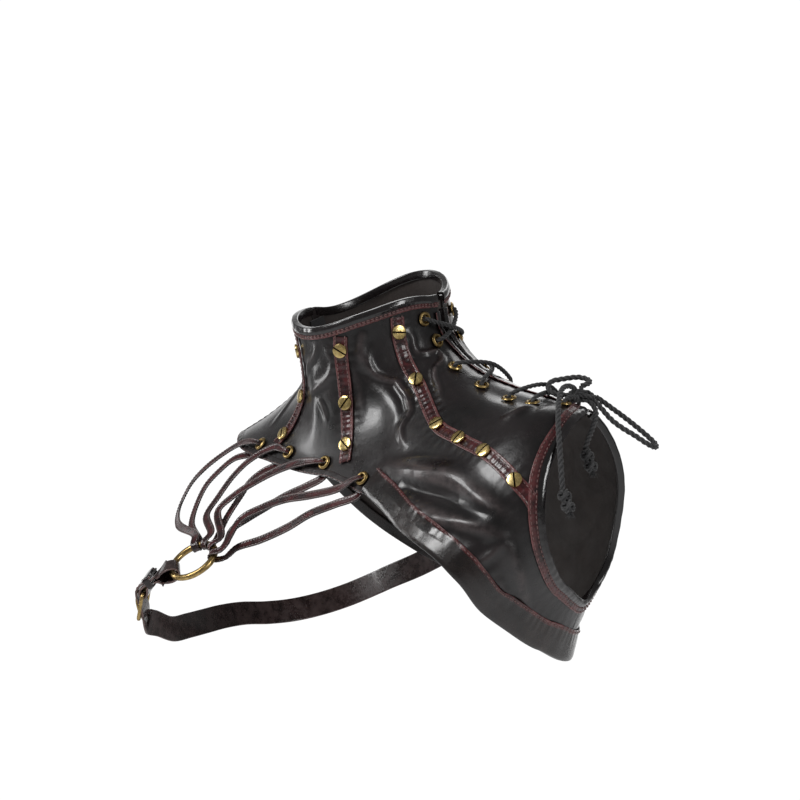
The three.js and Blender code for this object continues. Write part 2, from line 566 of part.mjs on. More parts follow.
function studGeometry() {
  const { radius, height, slot, slotDepth, sides } = STUD;
  const profile = [[0, 0], [radius, 0], [radius * 0.93, height], [0, height]];
  const head = new THREE.LatheGeometry(profile.map(([r, z]) => new THREE.Vector2(r, z)), sides);
  head.rotateX(Math.PI / 2);
  const groove = new THREE.BoxGeometry(slot, radius * 3, slotDepth * 2);
  groove.translate(0, 0, height);
  return outward(geometryOf(solidOf(head).subtract(solidOf(groove))));
}

function addStrips() {
  const head = studGeometry();
  for (const { name, route, studs, steps } of STRIPS) {
    const half = STRIP_WIDTH / 2;
    const top = TOP + TRIM;
    const section = [[-half, TOP], [half, TOP], [half, top], [-half, top]];
    add(name, clearOfArmhole(clearOfPanels(alongForm(route, steps, () => section))), "oxblood");
    studs.forEach(([angle, level], index) => {
      const stud = add(name.replace("strip", "stud") + "_" + (index + 1), head.clone(), "brass");
      seat(stud, angle, level, top + STUD.seat, 0.9 + 0.7 * index);
    });
  }
}

function addEyelets() {
  const { outer, inner, height, sides } = EYELET;
  const profile = [[inner, 0], [outer, 0], [outer * 0.93, height], [inner, height], [inner, 0]];
  const washer = new THREE.LatheGeometry(profile.map(([r, z]) => new THREE.Vector2(r, z)), sides);
  washer.rotateX(Math.PI / 2);
  const places = { eyelet_front: LACING_FRONT, eyelet_back: LACING_BACK, eyelet_thong: THONG_EYELETS };
  for (const [name, at] of Object.entries(places)) {
    at.forEach(([angle, level], index) => {
      const eyelet = add(name + "_" + (index + 1), outward(merged(washer)), "brass");
      seat(eyelet, angle, level, LEATHER + EYELET.seat, EYELET.turn);
    });
  }
}

// The lace runs out of one eyelet, over to the next one on the other side and in again, then inside
// to the next. Both halves start at the straight bar inside the first pair.
function addLacing() {
  const half = (own, other) => own.map((place, index) => (index % 2 ? other[index] : place));
  const first = half(LACING_FRONT, LACING_BACK);
  const second = half(LACING_BACK, LACING_FRONT);
  const holes = [...first.reverse(), ...second];
  const middle = first.length - 1;
  const points = [];
  const knot = vector(KNOT.centre);
  const end = ([angle, level]) => {
    const rim = lay(angle, level, LACE.over);
    const way = knot.clone().sub(rim);
    const turned = way.clone().normalize().applyAxisAngle(UP, -radians(KNOT.turn));
    const reach = way.length() - 1 / turned.divide(vector(KNOT.size)).length() - LACE_ENDS.knotGap;
    return [reach / 4, reach].map((distance) => rim.clone().addScaledVector(way.normalize(), distance));
  };
  points.push(...end(holes[0]).reverse());
  holes.forEach(([angle, level], index) => {
    const hole = LACE_ENDS.hole.map((lift) => lay(angle, level, lift));
    const outFirst = index <= middle ? (middle - index) % 2 === 0 : (index - middle) % 2 === 0;
    if (outFirst) hole.reverse();
    points.push(...hole);
    if (index === holes.length - 1) return;
    const [toAngle, toLevel] = holes[index + 1];
    const outside = !outFirst;
    const base = outside ? LACE.over : LACE.under;
    const raised = (outside && index < middle) || (!outside && index > middle);
    const stack = index === middle ? 0 : raised ? Math.sign(base) * LACE.stack : 0;
    const span = lay(angle, level, 0).distanceTo(lay(toAngle, toLevel, 0));
    const turn = LACE.turn / span;
    for (const [share, lift] of [[turn, base], [0.5, base + stack], [1 - turn, base]]) {
      points.push(lay(angle + (toAngle - angle) * share, level + (toLevel - level) * share, lift));
    }
  });
  points.push(...end(holes[holes.length - 1]));
  add("lacing", tube(points, LACE.radius, LACE.sides, 2 * (points.length - 1), CurveByPoints), "cord");
}

function addBow() {
  const knot = add("bow_knot", merged(new THREE.SphereGeometry(1, 10, 7)), "cord");
  knot.geometry = outward(knot.geometry);
  knot.scale.set(...KNOT.size);
  knot.rotation.z = radians(KNOT.turn);
  knot.position.set(...KNOT.centre);
  const { radius, sides } = CORD;
  add("bow_loop_short", tube(BOW_SHORT.map(vector), radius, sides, 16), "cord");
  add("bow_loop_long", tube(BOW_LONG.map(vector), radius, sides, 20), "cord");
  const tails = { tail_front: TAIL_FRONT, tail_back: TAIL_BACK };
  for (const [name, route] of Object.entries(tails)) {
    const points = route.map(vector);
    add(name, tube(points, radius, sides, 11), "cord");
    const hang = vector(TAIL_KNOT.hang).normalize();
    const end = add(name + "_knot", outward(merged(new THREE.SphereGeometry(1, 8, 6))), "cord");
    end.scale.set(...TAIL_KNOT.size);
    end.quaternion.setFromUnitVectors(UP, hang);
    end.position.copy(points.at(-1)).addScaledVector(hang, TAIL_KNOT.reach);
  }
}

// The ring's middle, the direction of its face, and the two directions across it.
function ringFrame() {
  const { perAngle, outwards } = leatherFrame(RING.angle, RING.level);
  const side = perAngle.addScaledVector(outwards, -perAngle.dot(outwards)).normalize();
  return { centre: lay(RING.angle, RING.level, RING.lift), side, up: outwards.clone().cross(side), outwards };
}

function addRing() {
  const ring = add("ring", outward(merged(new THREE.TorusGeometry(RING.radius, RING.wire, 6, 20))), "brass");
  seat(ring, RING.angle, RING.level, RING.lift);
}

// The stations of a band that comes in over the ring's wire, turns round it and leaves below it.
function roundWire(onRing, thickness, width, slack, comesFrom) {
  const { centre, side, up, outwards } = ringFrame();
  const turn = RING.wire + slack + thickness / 2;
  const radial = side.multiplyScalar(Math.cos(onRing)).addScaledVector(up, Math.sin(onRing));
  const wire = centre.addScaledVector(radial, RING.radius);
  const station = (away, height) => ({
    point: wire.clone().addScaledVector(radial, away).addScaledVector(outwards, height),
    outwards,
    width,
  });
  const round = [90, 135, 180, 225, 270].map((degrees) =>
    station(turn * Math.cos(radians(degrees)), turn * Math.sin(radians(degrees))));
  return [station(comesFrom, turn), ...round, station(comesFrom, -turn)];
}

// A thong comes up through its eyelet, runs to the ring, turns round its wire and runs back under
// the edge of the yoke to the eyelet.
function addThongs() {
  const { width, neck, thickness, hole, over, under, turn } = THONG;
  THONGS.forEach(({ onRing, near, far }, index) => {
    const [angle, level] = THONG_EYELETS[index];
    const beside = ([toAngle, toLevel], lift) => {
      const way = formPoint(toAngle, toLevel).sub(formPoint(angle, level)).setLength(turn);
      return stationOnForm(...stepAlong(angle, level, way), lift, neck);
    };
    const stations = [
      ...hole.map((lift) => stationOnForm(angle, level, lift, neck)),
      beside(near[0], over),
      ...near.map((place) => stationOnForm(...place, width)),
      ...roundWire(radians(onRing), thickness, width - 1, SEAT, FROM_WIRE.thong),
      ...far.map((place) => stationOnForm(...place, width)),
      beside(far[far.length - 1], under),
    ];
    add("thong_" + (index + 1), band(stations, thickness, 2, true), "leather");
  });
}

// The place of a distance along the strap's route, in millimetres from its start.
const strapPlaces = smoothRoute(STRAP_ROUTE, 240);
const strapLengths = [0];
strapPlaces.slice(1).forEach(({ angle, level }, index) => {
  const before = strapPlaces[index];
  const step = formPoint(angle, level).distanceTo(formPoint(before.angle, before.level));
  strapLengths.push(strapLengths[index] + step);
});
const strapLength = strapLengths[strapLengths.length - 1];

function onStrap(distance) {
  const found = strapLengths.findIndex((length) => length > distance);
  const after = found < 0 ? strapLengths.length - 1 : Math.max(found, 1);
  const from = strapPlaces[after - 1];
  const to = strapPlaces[after];
  const share = (distance - strapLengths[after - 1]) / (strapLengths[after] - strapLengths[after - 1]);
  return [from.angle + (to.angle - from.angle) * share, from.level + (to.level - from.level) * share];
}

// The middle of the buckle and its directions: ahead along the line from the ring, to the side, outwards.
function buckleFrame() {
  const origin = formPoint(...onStrap(BUCKLE.at));
  const { outwards } = formFrame(...onStrap(BUCKLE.at));
  const ahead = origin.clone().sub(ringFrame().centre);
  ahead.addScaledVector(outwards, -ahead.dot(outwards)).normalize();
  return { origin, ahead, side: outwards.clone().cross(ahead), outwards };
}

function nearBuckle([along, height]) {
  const { origin, ahead, outwards } = buckleFrame();
  const point = origin.addScaledVector(ahead, along).addScaledVector(outwards, height);
  return { point, outwards, width: STRAP.width };
}

// Sets a piece made round +Z at a place by the buckle, with its +X ahead, tipped down towards the ring.
function seatByBuckle(mesh, place, tilt = 0) {
  const { ahead, side, outwards } = buckleFrame();
  mesh.quaternion.setFromRotationMatrix(new THREE.Matrix4().makeBasis(ahead, side, outwards));
  mesh.rotateY(-tilt);
  mesh.position.copy(nearBuckle(place).point);
}

function onStrapForm([distance, lift]) {
  return stationOnForm(...onStrap(distance), lift, STRAP.width);
}

function roundedRectangle(path, length, width, corner) {
  const [x, y] = [length / 2, width / 2];
  path.moveTo(x - corner, -y);
  path.lineTo(x, corner - y);
  path.lineTo(x, y - corner);
  path.lineTo(x - corner, y);
  path.lineTo(corner - x, y);
  path.lineTo(-x, y - corner);
  path.lineTo(-x, corner - y);
  path.lineTo(corner - x, -y);
  path.closePath();
  return path;
}

function addStraps() {
  const { centre, side, up } = ringFrame();
  const way = buckleFrame().origin.sub(centre);
  const onRing = Math.atan2(way.dot(up), way.dot(side));
  add("ring_strap", band([
    ...RING_STRAP_BUCKLE_END.map(nearBuckle),
    ...roundWire(onRing, STRAP.thickness, STRAP.atRing, STRAP.slack, FROM_WIRE.strap),
    ...RING_STRAP_END.map(nearBuckle),
  ], STRAP.thickness, 2), "leather");

  const { from, lyingLift, onHemLift, overlap, climb, spacing } = CHEST_STRAP_END;
  const lying = [];
  const climbFrom = strapLength - overlap - climb;
  for (let distance = from; distance < climbFrom - spacing / 2; distance += spacing) {
    lying.push([distance, lyingLift]);
  }
  const landing = [[climbFrom, lyingLift], [climbFrom + climb, onHemLift], [strapLength, onHemLift]];
  add("chest_strap", band([
    ...[...CHEST_STRAP_TAIL, ...CHEST_STRAP_BUCKLE].map(nearBuckle),
    ...[...lying, ...landing].map(onStrapForm),
  ], STRAP.thickness, 2), "leather");

  const { width, length, bar, thickness, corners } = BUCKLE;
  const frame = roundedRectangle(new THREE.Shape(), length, width, corners[0]);
  frame.holes.push(roundedRectangle(new THREE.Path(), length - 2 * bar, width - 2 * bar, corners[1]));
  const buckle = new THREE.ExtrudeGeometry(frame, { depth: thickness, bevelEnabled: false });
  buckle.translate(0, 0, -thickness / 2);
  seatByBuckle(add("buckle", outward(merged(buckle)), "brass"), [0, BUCKLE.lift]);

  const { wide, high, long, wall } = KEEPER;
  const loop = roundedRectangle(new THREE.Shape(), high, wide, KEEPER.corners[0]);
  loop.holes.push(roundedRectangle(new THREE.Path(), high - 2 * wall, wide - 2 * wall, KEEPER.corners[1]));
  const keeper = new THREE.ExtrudeGeometry(loop, { depth: long, bevelEnabled: false });
  keeper.translate(0, 0, -long / 2);
  keeper.rotateY(Math.PI / 2);
  seatByBuckle(add("strap_keeper", outward(merged(keeper)), "leather"), KEEPER.at, KEEPER.tilt);
}

// The zip lies under both edges of the panels, with its closed teeth standing up between them.
function addZip() {
  const middle = (ZIP_FRONT + ZIP_BACK - 360) / 2;
  const route = [ZIP.from, ZIP.middle, ZIP.to].map((level) => [middle, level]);
  const { tape, teeth, steps } = ZIP;
  const { bottom, tapeTop, teethTop } = ZIP_LIFTS;
  const sectionAt = (index) => {
    const half = teeth[index % 2];
    return [[-tape, bottom], [tape, bottom], [tape, tapeTop], [half, tapeTop], [half, teethTop],
      [-half, teethTop], [-half, tapeTop], [-tape, tapeTop]];
  };
  add("zip", alongForm(route, steps, sectionAt), "brass");
}

addPanels();
addEdgings();
addStrips();
addEyelets();
addLacing();
addBow();
addRing();
addThongs();
addStraps();
addZip();

export default gorget;
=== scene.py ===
"""The look of a laced leather gorget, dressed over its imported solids.

Places on the garment are [angle, level, lift]: the angle runs round the body from the front (0) over
the wearer's left (90) to the back (180), the level runs down from the top of the collar, and the lift
is the height over the form. Lengths are millimetres until a mesh is made.
"""

import math

import bpy
import numpy as np
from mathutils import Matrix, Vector
from mathutils.geometry import delaunay_2d_cdt


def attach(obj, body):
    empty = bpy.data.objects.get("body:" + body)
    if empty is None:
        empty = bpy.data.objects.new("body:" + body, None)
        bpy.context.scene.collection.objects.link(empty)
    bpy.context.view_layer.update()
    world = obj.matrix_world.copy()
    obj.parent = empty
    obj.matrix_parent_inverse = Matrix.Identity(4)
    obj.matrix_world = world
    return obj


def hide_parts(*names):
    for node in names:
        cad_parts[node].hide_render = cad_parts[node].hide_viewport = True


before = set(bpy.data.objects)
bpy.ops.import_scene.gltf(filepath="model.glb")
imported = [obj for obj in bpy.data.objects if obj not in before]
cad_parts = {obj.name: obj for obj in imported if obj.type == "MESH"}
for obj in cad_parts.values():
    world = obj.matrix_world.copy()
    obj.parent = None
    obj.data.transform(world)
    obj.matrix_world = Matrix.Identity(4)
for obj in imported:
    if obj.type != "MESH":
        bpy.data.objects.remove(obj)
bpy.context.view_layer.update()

MM = 0.001

# Sizes shared with the solids
LEATHER = 1.8
TRIM = 1.2
SEAT = 0.6
TOP = LEATHER + SEAT
EDGING = {"collar": 7.6, "lacing": 4.5, "armhole": 10.0, "hem": 20.0}
STRIP_WIDTH = 10.5
STUD = {"radius": 5.5, "height": 2.0, "slot": 1.3, "slot_depth": 0.9}
EYELET = {"outer": 5.65, "inner": 3.25, "height": 1.1, "hole": 3.4, "seat": 1.3}
LACE = {"radius": 1.8, "over": 6.7, "under": -4.2, "stack": 3.9, "turn": 4.2}
LACE_KNOT_GAP = 0.6
CORD_RADIUS = 2.1
ROLL = 3.4
STITCH_SPACING = 3.2
THONG = {"width": 7.5, "neck": 4.4, "thickness": 1.6}
RING = {"radius": 18.5, "wire": 2.5, "angle": -20.7, "level": 6.94, "lift": 7.0}
STRAP = {"width": 20.0, "at_ring": 12.0, "thickness": 1.6}
BUCKLE = {"at": 50.0, "width": 28.0, "length": 24.0, "bar": 3.2, "thickness": 2.6, "lift": 6.2}
KEEPER = {"at": [-20.5, 3.6], "tilt": 0.63, "wide": 24.0, "high": 10.0, "long": 5.0, "wall": 1.3}

# The camera of the photograph, in degrees, metres and, for the lens and sensor, millimetres.
CAMERA = {"azimuth": 45, "distance": 1.7, "height": -0.0406, "lens": 98.1, "sensor": 36,
          "target": (0.00665, 0.00665, -0.0016)}
# Each light's name, place, target, size and power.
LIGHTS = [
    ("key", (-0.35, -1.5, 1.0), (0, 0, -0.05), (0.6, 0.8), 21),
    ("side", (1.8, -0.1, 0.6), (0.08, 0, -0.05), (0.3, 1.2), 12),
    ("back", (-0.6, 1.6, 1.2), (0, 0, 0), (1.2, 0.8), 5),
    ("front", (-1.6, -0.9, 0.2), (-0.05, -0.05, -0.08), (0.3, 1.1), 8),
]
# The world's strength by how closely a direction agrees with the one behind the garment.
BEHIND = (-0.7071, 0.7071, 0)
WORLD = {"From Min": 0.78, "From Max": 0.96, "To Min": 0.16, "To Max": 1.05}
FLOOR = {"reach": 4.5, "height": -1.4, "glow": 0.25}

# The form, level by level: half widths left and right, front and back, the height of the level at the
# front, left, right and back, and the power of its outline.
LEVELS = np.array([
    [57, 57, -78, 38, 54, 78, 74, 104, 2.0],
    [56, 56, -70, 46, 24, 52, 50, 74, 2.0],
    [62, 62, -64, 56, -8, 34, 30, 46, 2.0],
    [88, 86, -66, 66, -38, 17, 10, 18, 2.0],
    [124, 118, -76, 78, -64, 4, -10, -16, 2.1],
    [160, 150, -88, 88, -90, -5, -25, -48, 2.2],
    [192, 180, -98, 96, -116, -16, -40, -80, 2.3],
    [214, 200, -108, 102, -140, -52, -74, -110, 2.3],
    [204, 196, -116, 106, -162, -105, -112, -136, 2.3],
    [176, 168, -122, 108, -182, -150, -152, -160, 2.25],
    [162, 152, -126, 108, -202, -182, -182, -184, 2.2],
    [157, 148, -128, 108, -222, -206, -206, -208, 2.15],
])
LEVEL_SPACING = 28
TILT_REACH = 3.0
BUST = {"left": 36, "right": 84, "x": 98, "z": -200, "spread_x": 44, "spread_z": 46}

# The broad folds of the solids: a route, the height and the half width.
FOLDS = [
    ([[39, 4.9], [46, 5.6], [51, 6.3]], 3.5, 10),
    ([[44, 6.3], [52, 7.0], [57, 7.35]], 3.5, 10),
    ([[37, 5.4], [46, 6.3], [54, 7.1]], -2.5, 9),
    ([[54, 7.3], [58, 7.7], [64, 8.1]], 2, 8),
    ([[38, 0.9], [39, 1.8], [43, 2.6], [40, 3.4], [36, 4.0]], 2.5, 8),
    ([[74, 1.5], [73, 2.2], [71, 2.9], [68, 3.5]], 1.5, 6),
    ([[66, 5.2], [72, 5.3], [80, 5.15]], 2, 8),
    ([[-10, 0.9], [-13, 1.9], [-11, 2.8]], 1.5, 8),
    ([[84, 3.2], [82, 4.0], [82, 4.8], [85, 5.5]], -4.5, 13),
]

# The sharp creases on top of them: a route, the height and the half width.
CREASES = [
    ([[39.3, 0.51], [36.1, 0.74], [34.4, 1.03], [35.1, 1.39], [38.1, 1.63]], 2.0, 3.2),
    ([[42.3, 0.85], [38.6, 1.28], [39.1, 1.62], [43, 1.94], [47.6, 2.19], [49.4, 2.26], [49.9, 2.49],
      [49.9, 2.8], [48.4, 3.06], [47.4, 3.22], [40.6, 3.52], [38.6, 3.79], [38.5, 4.15]], 2.3, 2.4),
    ([[69.6, 0.91], [71.6, 1.21], [70, 1.57], [70.4, 1.86], [75.8, 2.0], [83.3, 2.02], [83.9, 2.21],
      [79.3, 2.44], [71.5, 2.59], [67.4, 2.78], [64.5, 3.11], [61.3, 3.42], [60, 3.65]], 2.3, 2.2),
    ([[-1.1, 0.46], [-6.2, 0.75], [-17.2, 1.05], [-26, 1.4]], 1.2, 2.6),
    ([[15.5, 0.53], [9.2, 0.68], [11.3, 0.98], [6.9, 1.26], [-4.5, 1.48], [-27.9, 1.92]], 1.2, 2.6),
    ([[-8, 1.79], [-4, 2.0], [0.4, 2.36]], 1.0, 2.2),
    ([[27.1, 4.11], [36.1, 4.73], [42.4, 5.52], [47.7, 6.31], [52.9, 6.9], [60.3, 7.5]], 3.0, 6.5),
    ([[29.8, 5.52], [38.7, 6.49], [49.1, 7.15], [55.9, 7.49], [59.1, 7.65]], 3.0, 5.0),
    ([[32, 4.95], [40, 5.9], [47.5, 6.72], [54, 7.15]], -2.8, 4.5),
    ([[57.9, 7.61], [66.9, 8.25], [77.2, 8.89], [83, 9.24]], 1.8, 4.0),
    ([[57.9, 7.61], [54.5, 7.76], [51.1, 7.84]], 1.2, 2.8),
    ([[59.8, 8.21], [66.4, 8.59], [71.7, 8.84]], 1.0, 3.0),
    ([[66.5, 5.25], [73.4, 5.3], [86.8, 5.11]], 1.6, 3.2),
    ([[28, 1.0], [27, 1.9], [25, 2.7]], 0.8, 3.2),
    ([[-58, 0.9], [-55, 1.8], [-60, 2.9], [-52, 3.7]], 1.1, 3.0),
    ([[130, 0.8], [138, 1.7], [133, 2.9], [140, 4.0]], 1.2, 3.2),
    ([[160, 0.9], [156, 2.0], [165, 3.1]], 1.1, 3.0),
    ([[190, 1.1], [197, 2.3], [189, 3.4], [194, 4.4]], 1.2, 3.2),
    ([[222, 0.9], [228, 1.9], [220, 3.0]], 1.1, 3.0),
    ([[250, 1.1], [245, 2.1], [252, 3.2]], 1.0, 3.0),
    ([[126, 5.0], [140, 5.6], [156, 6.3]], 1.2, 4.0),
    ([[135, 6.9], [148, 7.4], [160, 8.1]], 1.1, 4.0),
    ([[205, 4.6], [220, 4.9], [238, 4.7]], 1.2, 3.6),
    ([[118, 9.2], [130, 9.5], [143, 9.4]], 1.0, 3.6),
]

# The edges of the two panels.
COLLAR_LEVEL = 0.12
ZIP_FRONT = -78.2
ZIP_BACK = 276.2
ZIP_END = 4.85
SEAM_FRONT = 107.8
SEAM_BACK = 108.2
FRONT = {
    "collar": [[ZIP_FRONT, COLLAR_LEVEL], [-20, 0.12], [27, 0.1], [53, 0.15], [77, 0.15],
               [102, COLLAR_LEVEL]],
    "lacing": [[102, COLLAR_LEVEL], [102, 1], [106, 2], [101, 3], [101, 4], [98.5, 5], [97, 5.85]],
    "armhole": [[97, 5.85], [81, 6.36], [73, 6.64], [69, 6.94], [68.4, 7.2], [69, 7.46], [73, 7.91],
                [79, 8.27], [89, 8.66], [100, 8.92], [SEAM_FRONT, 9]],
    "side": [[SEAM_FRONT, 9], [SEAM_FRONT, 10.5]],
    "hem": [[SEAM_FRONT, 10.5], [90, 10.04], [74, 9.39], [60, 8.75], [47.5, 8], [39, 7.35],
            [33.6, 6.81], [28.8, 6.15], [24.5, 5.23], [20.5, 4.61]],
    "yoke": [[20.5, 4.61], [15, 4.2], [5, 3.78], [-13, 3.7], [-31, 3.9], [-44, 4.22], [-59, 4.6],
             [ZIP_FRONT, ZIP_END]],
    "zip": [[ZIP_FRONT, ZIP_END], [ZIP_FRONT, COLLAR_LEVEL]],
}
BACK = {
    "collar": [[ZIP_BACK, COLLAR_LEVEL], [190, COLLAR_LEVEL], [112, COLLAR_LEVEL]],
    "lacing": [[112, COLLAR_LEVEL], [111, 1], [112.5, 2], [107, 3], [106.5, 4], [104, 5],
               [102.5, 5.85]],
    "armhole": [[102.5, 5.85], [113, 6.4], [121, 6.9], [126, 7.5], [126, 8.1], [121, 8.6],
                [115, 8.85], [SEAM_BACK, 9]],
    "side": [[SEAM_BACK, 9], [SEAM_BACK, 10.5]],
    "hem": [[SEAM_BACK, 10.5], [130, 10.45], [150, 10], [170, 9], [190, 7.9], [210, 6.9],
            [230, 6.05], [250, 5.35], [ZIP_BACK, ZIP_END]],
    "zip": [[ZIP_BACK, ZIP_END], [ZIP_BACK, COLLAR_LEVEL]],
}

# Strips with the places and slot directions of their studs, in degrees.
STRIPS = {
    "left": {"route": [[21.8, 0.43], [20.3, 0.75], [17.3, 2.03], [14.6, 3.11], [13.5, 3.62]],
             "studs": [[20.3, 0.75, 130], [17.3, 2.03, 30], [14.6, 3.11, 125]]},
    "diagonal": {"route": [[63.2, 0.5], [62.1, 0.91], [58.7, 2.59], [51.7, 4.1], [53.4, 4.93],
                           [55.6, 5.78], [60, 6.71, 0], [63, 7.04, -0.2], [65.6, 7.27, -0.9]],
                 "studs": [[62.1, 0.91, 160], [58.7, 2.59, 50], [51.7, 4.1, 170], [53.4, 4.93, 20],
                           [55.6, 5.78, 10], [60, 6.71, 65]]},
    "right": {"route": [[-35, 0.44], [-35, 2], [-35, 3.4], [-35, 3.62]],
              "studs": [[-35.2, 0.86, 40], [-35.1, 2.15, 100], [-34.9, 3.3, 150]]},
}
LACING_FRONT = [[85, 0.72], [90, 1.55], [82.5, 2.75], [82, 3.6], [82, 4.4], [82.5, 5.1], [90, 5.58]]
LACING_BACK = [[129, 0.72], [128, 1.55], [126, 2.75], [124, 3.5], [120.5, 4.3], [116, 4.85],
               [111.5, 5.25]]
THONG_EYELETS = [[-44.8, 4.0], [-23, 3.5], [2.6, 3.5], [20.5, 4.3]]

# The thongs' strands from the eyelet to the ring.
THONGS = [
    {"on_ring": 140,
     "near": [[-55, 4.55, 4.5], [-58, 5.14, 3.5], [-57, 5.75, 3.5], [-58, 6.3, 3.5],
              [-55, 6.75, 4.5], [-46, 6.85, 6]],
     "far": [[-37, 6.5, 4], [-43, 6.25, 3], [-47, 5.8, 3], [-49, 5.3, 3], [-49.5, 4.8, 2.4],
             [-47, 4.35, -1.8]]},
    {"on_ring": 108,
     "near": [[-33, 3.7, 5], [-39, 4.39, 5], [-38.5, 4.96, 5], [-35, 5.57, 5.5], [-31.5, 6.0, 7.5]],
     "far": [[-25.5, 5.7, 3], [-28.4, 5.05, 3], [-30.2, 4.72, 2.6], [-29.5, 4.3, 1.5],
             [-26, 3.85, -1.8]]},
    {"on_ring": 76,
     "near": [[-9.8, 3.6, 5.5], [-18, 3.98, 7], [-24, 4.59, 8.5], [-27.5, 5.2, 9],
              [-27.5, 5.7, 9.5]],
     "far": [[-20, 5.85, 2.5], [-17.8, 5.39, 2.5], [-14.6, 5.0, 2.5], [-10.2, 4.58, 2.3],
             [-3, 4.15, 0.5], [1.5, 3.85, -1.8]]},
    {"on_ring": 40,
     "near": [[12, 4.4, 5], [1.8, 4.49, 5.5], [-7.3, 4.69, 6.5], [-14, 5.1, 7.5],
              [-17.5, 5.55, 8.5]],
     "far": [[-14, 6.2, 2.5], [-9.1, 5.82, 2.3], [-3, 5.37, 2.3], [2, 4.98, 2.3], [10, 4.75, 1],
             [17, 4.62, -1.8]]},
]

# The strap's route from the middle of the ring, and places on the straps by the buckle: along the
# line from the ring to the buckle, from the buckle's middle, with the height over the form there.
STRAP_ROUTE = [[-20.7, 6.94], [-24, 7.39], [-28, 7.83], [-32, 8.19], [-36, 8.49], [-41, 8.83],
               [-48, 9.3], [-57, 9.72], [-70, 9.79], [-88, 9.72], [-105, 9.73], [-125, 9.43],
               [-145, 8.82], [-160, 8.2], [-168, 7.75], [-174, 7.35]]
RING_STRAP_BUCKLE_END = [[-18.8, 1.9], [-16, 3.5], [-13.2, 3.5], [-10.4, 3.2], [-7.6, 4.4],
                         [-7, 6.2], [-7.8, 8.2], [-10.4, 9.3], [-13.5, 8.7], [-17.5, 5.8],
                         [-22.5, 2.2], [-28, -1.8]]
RING_STRAP_END = [[-26, -7.5], [-24.6, -3.8], [-23, -1.5], [-21.4, -0.3]]
CHEST_STRAP_TAIL = [[-25.4, 3], [-21.9, 5.6], [-18.4, 8.2], [-15.9, 10.2]]
CHEST_STRAP_BUCKLE = [[-13.3, 11.5], [-10.4, 11.9], [-6.5, 11], [-2.5, 8.6], [2, 6], [6, 4.2],
                      [10.4, 3.2], [14.5, 1.4]]
CHEST_STRAP_END = {"from": 76, "lying_lift": 2.2, "on_hem_lift": 6.2, "overlap": 46, "climb": 26,
                   "spacing": 24}

# The bow and the free stretches of the cord.
KNOT = {"centre": [177.4, 21.1, -1.2], "size": [10.5, 6, 5], "turn": 45}
BOW_SHORT = [[169.7, 12, -0.3], [165.1, 8.7, 0.1], [160.7, 7.8, 2], [157, 9.2, 4.9], [155, 12.4, 7.9],
             [155.1, 16.7, 10.2], [157.4, 20.9, 11.2], [165.5, 30.4, 13], [169, 32.8, 12.7],
             [173.5, 33.3, 11.6], [177.5, 31.6, 10], [179.9, 28, 8.3], [180.2, 23.5, 7],
             [179.2, 20.4, 6.1]]
BOW_LONG = [[185.2, 29.7, -1.9], [187.2, 34.4, -5], [190.2, 41.7, -10], [193.7, 48.6, -15.1],
            [199.2, 56, -22], [207.6, 63.9, -31.8], [212.4, 63.8, -35.5], [216.6, 60.3, -38.1],
            [218.6, 54.6, -38.4], [217.8, 49, -36.4], [210.5, 41.9, -29.7], [204.6, 36.6, -24.9],
            [197.8, 32.3, -18.8], [192, 29.6, -11.9], [187.3, 27.5, -5.8]]
TAIL_FRONT = [[176.3, 15.7, 4.3], [177.5, 9.2, 5.7], [179.6, 0.7, 4.9], [183.8, -8.5, 0.7],
              [190.1, -17.8, -6.4], [197.3, -26.9, -15.1], [203.6, -34, -26.5], [208.7, -38.7, -38.5],
              [212.5, -42.1, -49.7], [214.2, -43.2, -59.4], [215.2, -43.4, -67.7]]
TAIL_BACK = [[185.6, 23.7, -6.4], [189, 23.6, -10.3], [192.6, 20.8, -15.3], [195.4, 15, -21.5],
             [197.8, 8.3, -28.4], [200, 2, -34.5], [202.1, -3, -39.9]]
TAIL_KNOT = {"wide": 5.6, "long": 8.5, "reach": 9.2, "hang": [0.3, 0.1, -0.95]}

# The twist of every cord, the radius of the cord in the knots and their wraps, and the frayed ends.
TWIST = {"spacing": 0.75, "around": 18, "pitch": 6.4}
STRANDS = {"knot": 1.9, "wrap": 1.8, "end_knot": 1.7, "end_wrap": 1.6}
FRAY = {"fibres": 60, "length": 7.0, "spread": 0.3, "thick": [0.2, 0.07]}

ZIP = {"from": 0.41, "to": 4.54, "tape": 9.0, "bottom": -1.6, "tape_top": -0.5}


def unit(vectors):
    return vectors / np.linalg.norm(vectors, axis=-1, keepdims=True)


def around(count):
    """Even angles round a circle."""
    return np.linspace(0, 2 * np.pi, count, endpoint=False)


def turned_axes(angle, first, second):
    """Three axes as rows, turned from the first named one towards the second."""
    axes = np.eye(3)
    axes[first, first] = axes[second, second] = math.cos(angle)
    axes[first, second] = math.sin(angle)
    axes[second, first] = -math.sin(angle)
    return axes


def tube(line, side, up, thick, turn):
    """Rings of points round a line, at the angles of the turn."""
    circle = np.cos(turn)[:, None] * side[:, None] + np.sin(turn)[:, None] * up[:, None]
    return line[:, None] + thick * circle


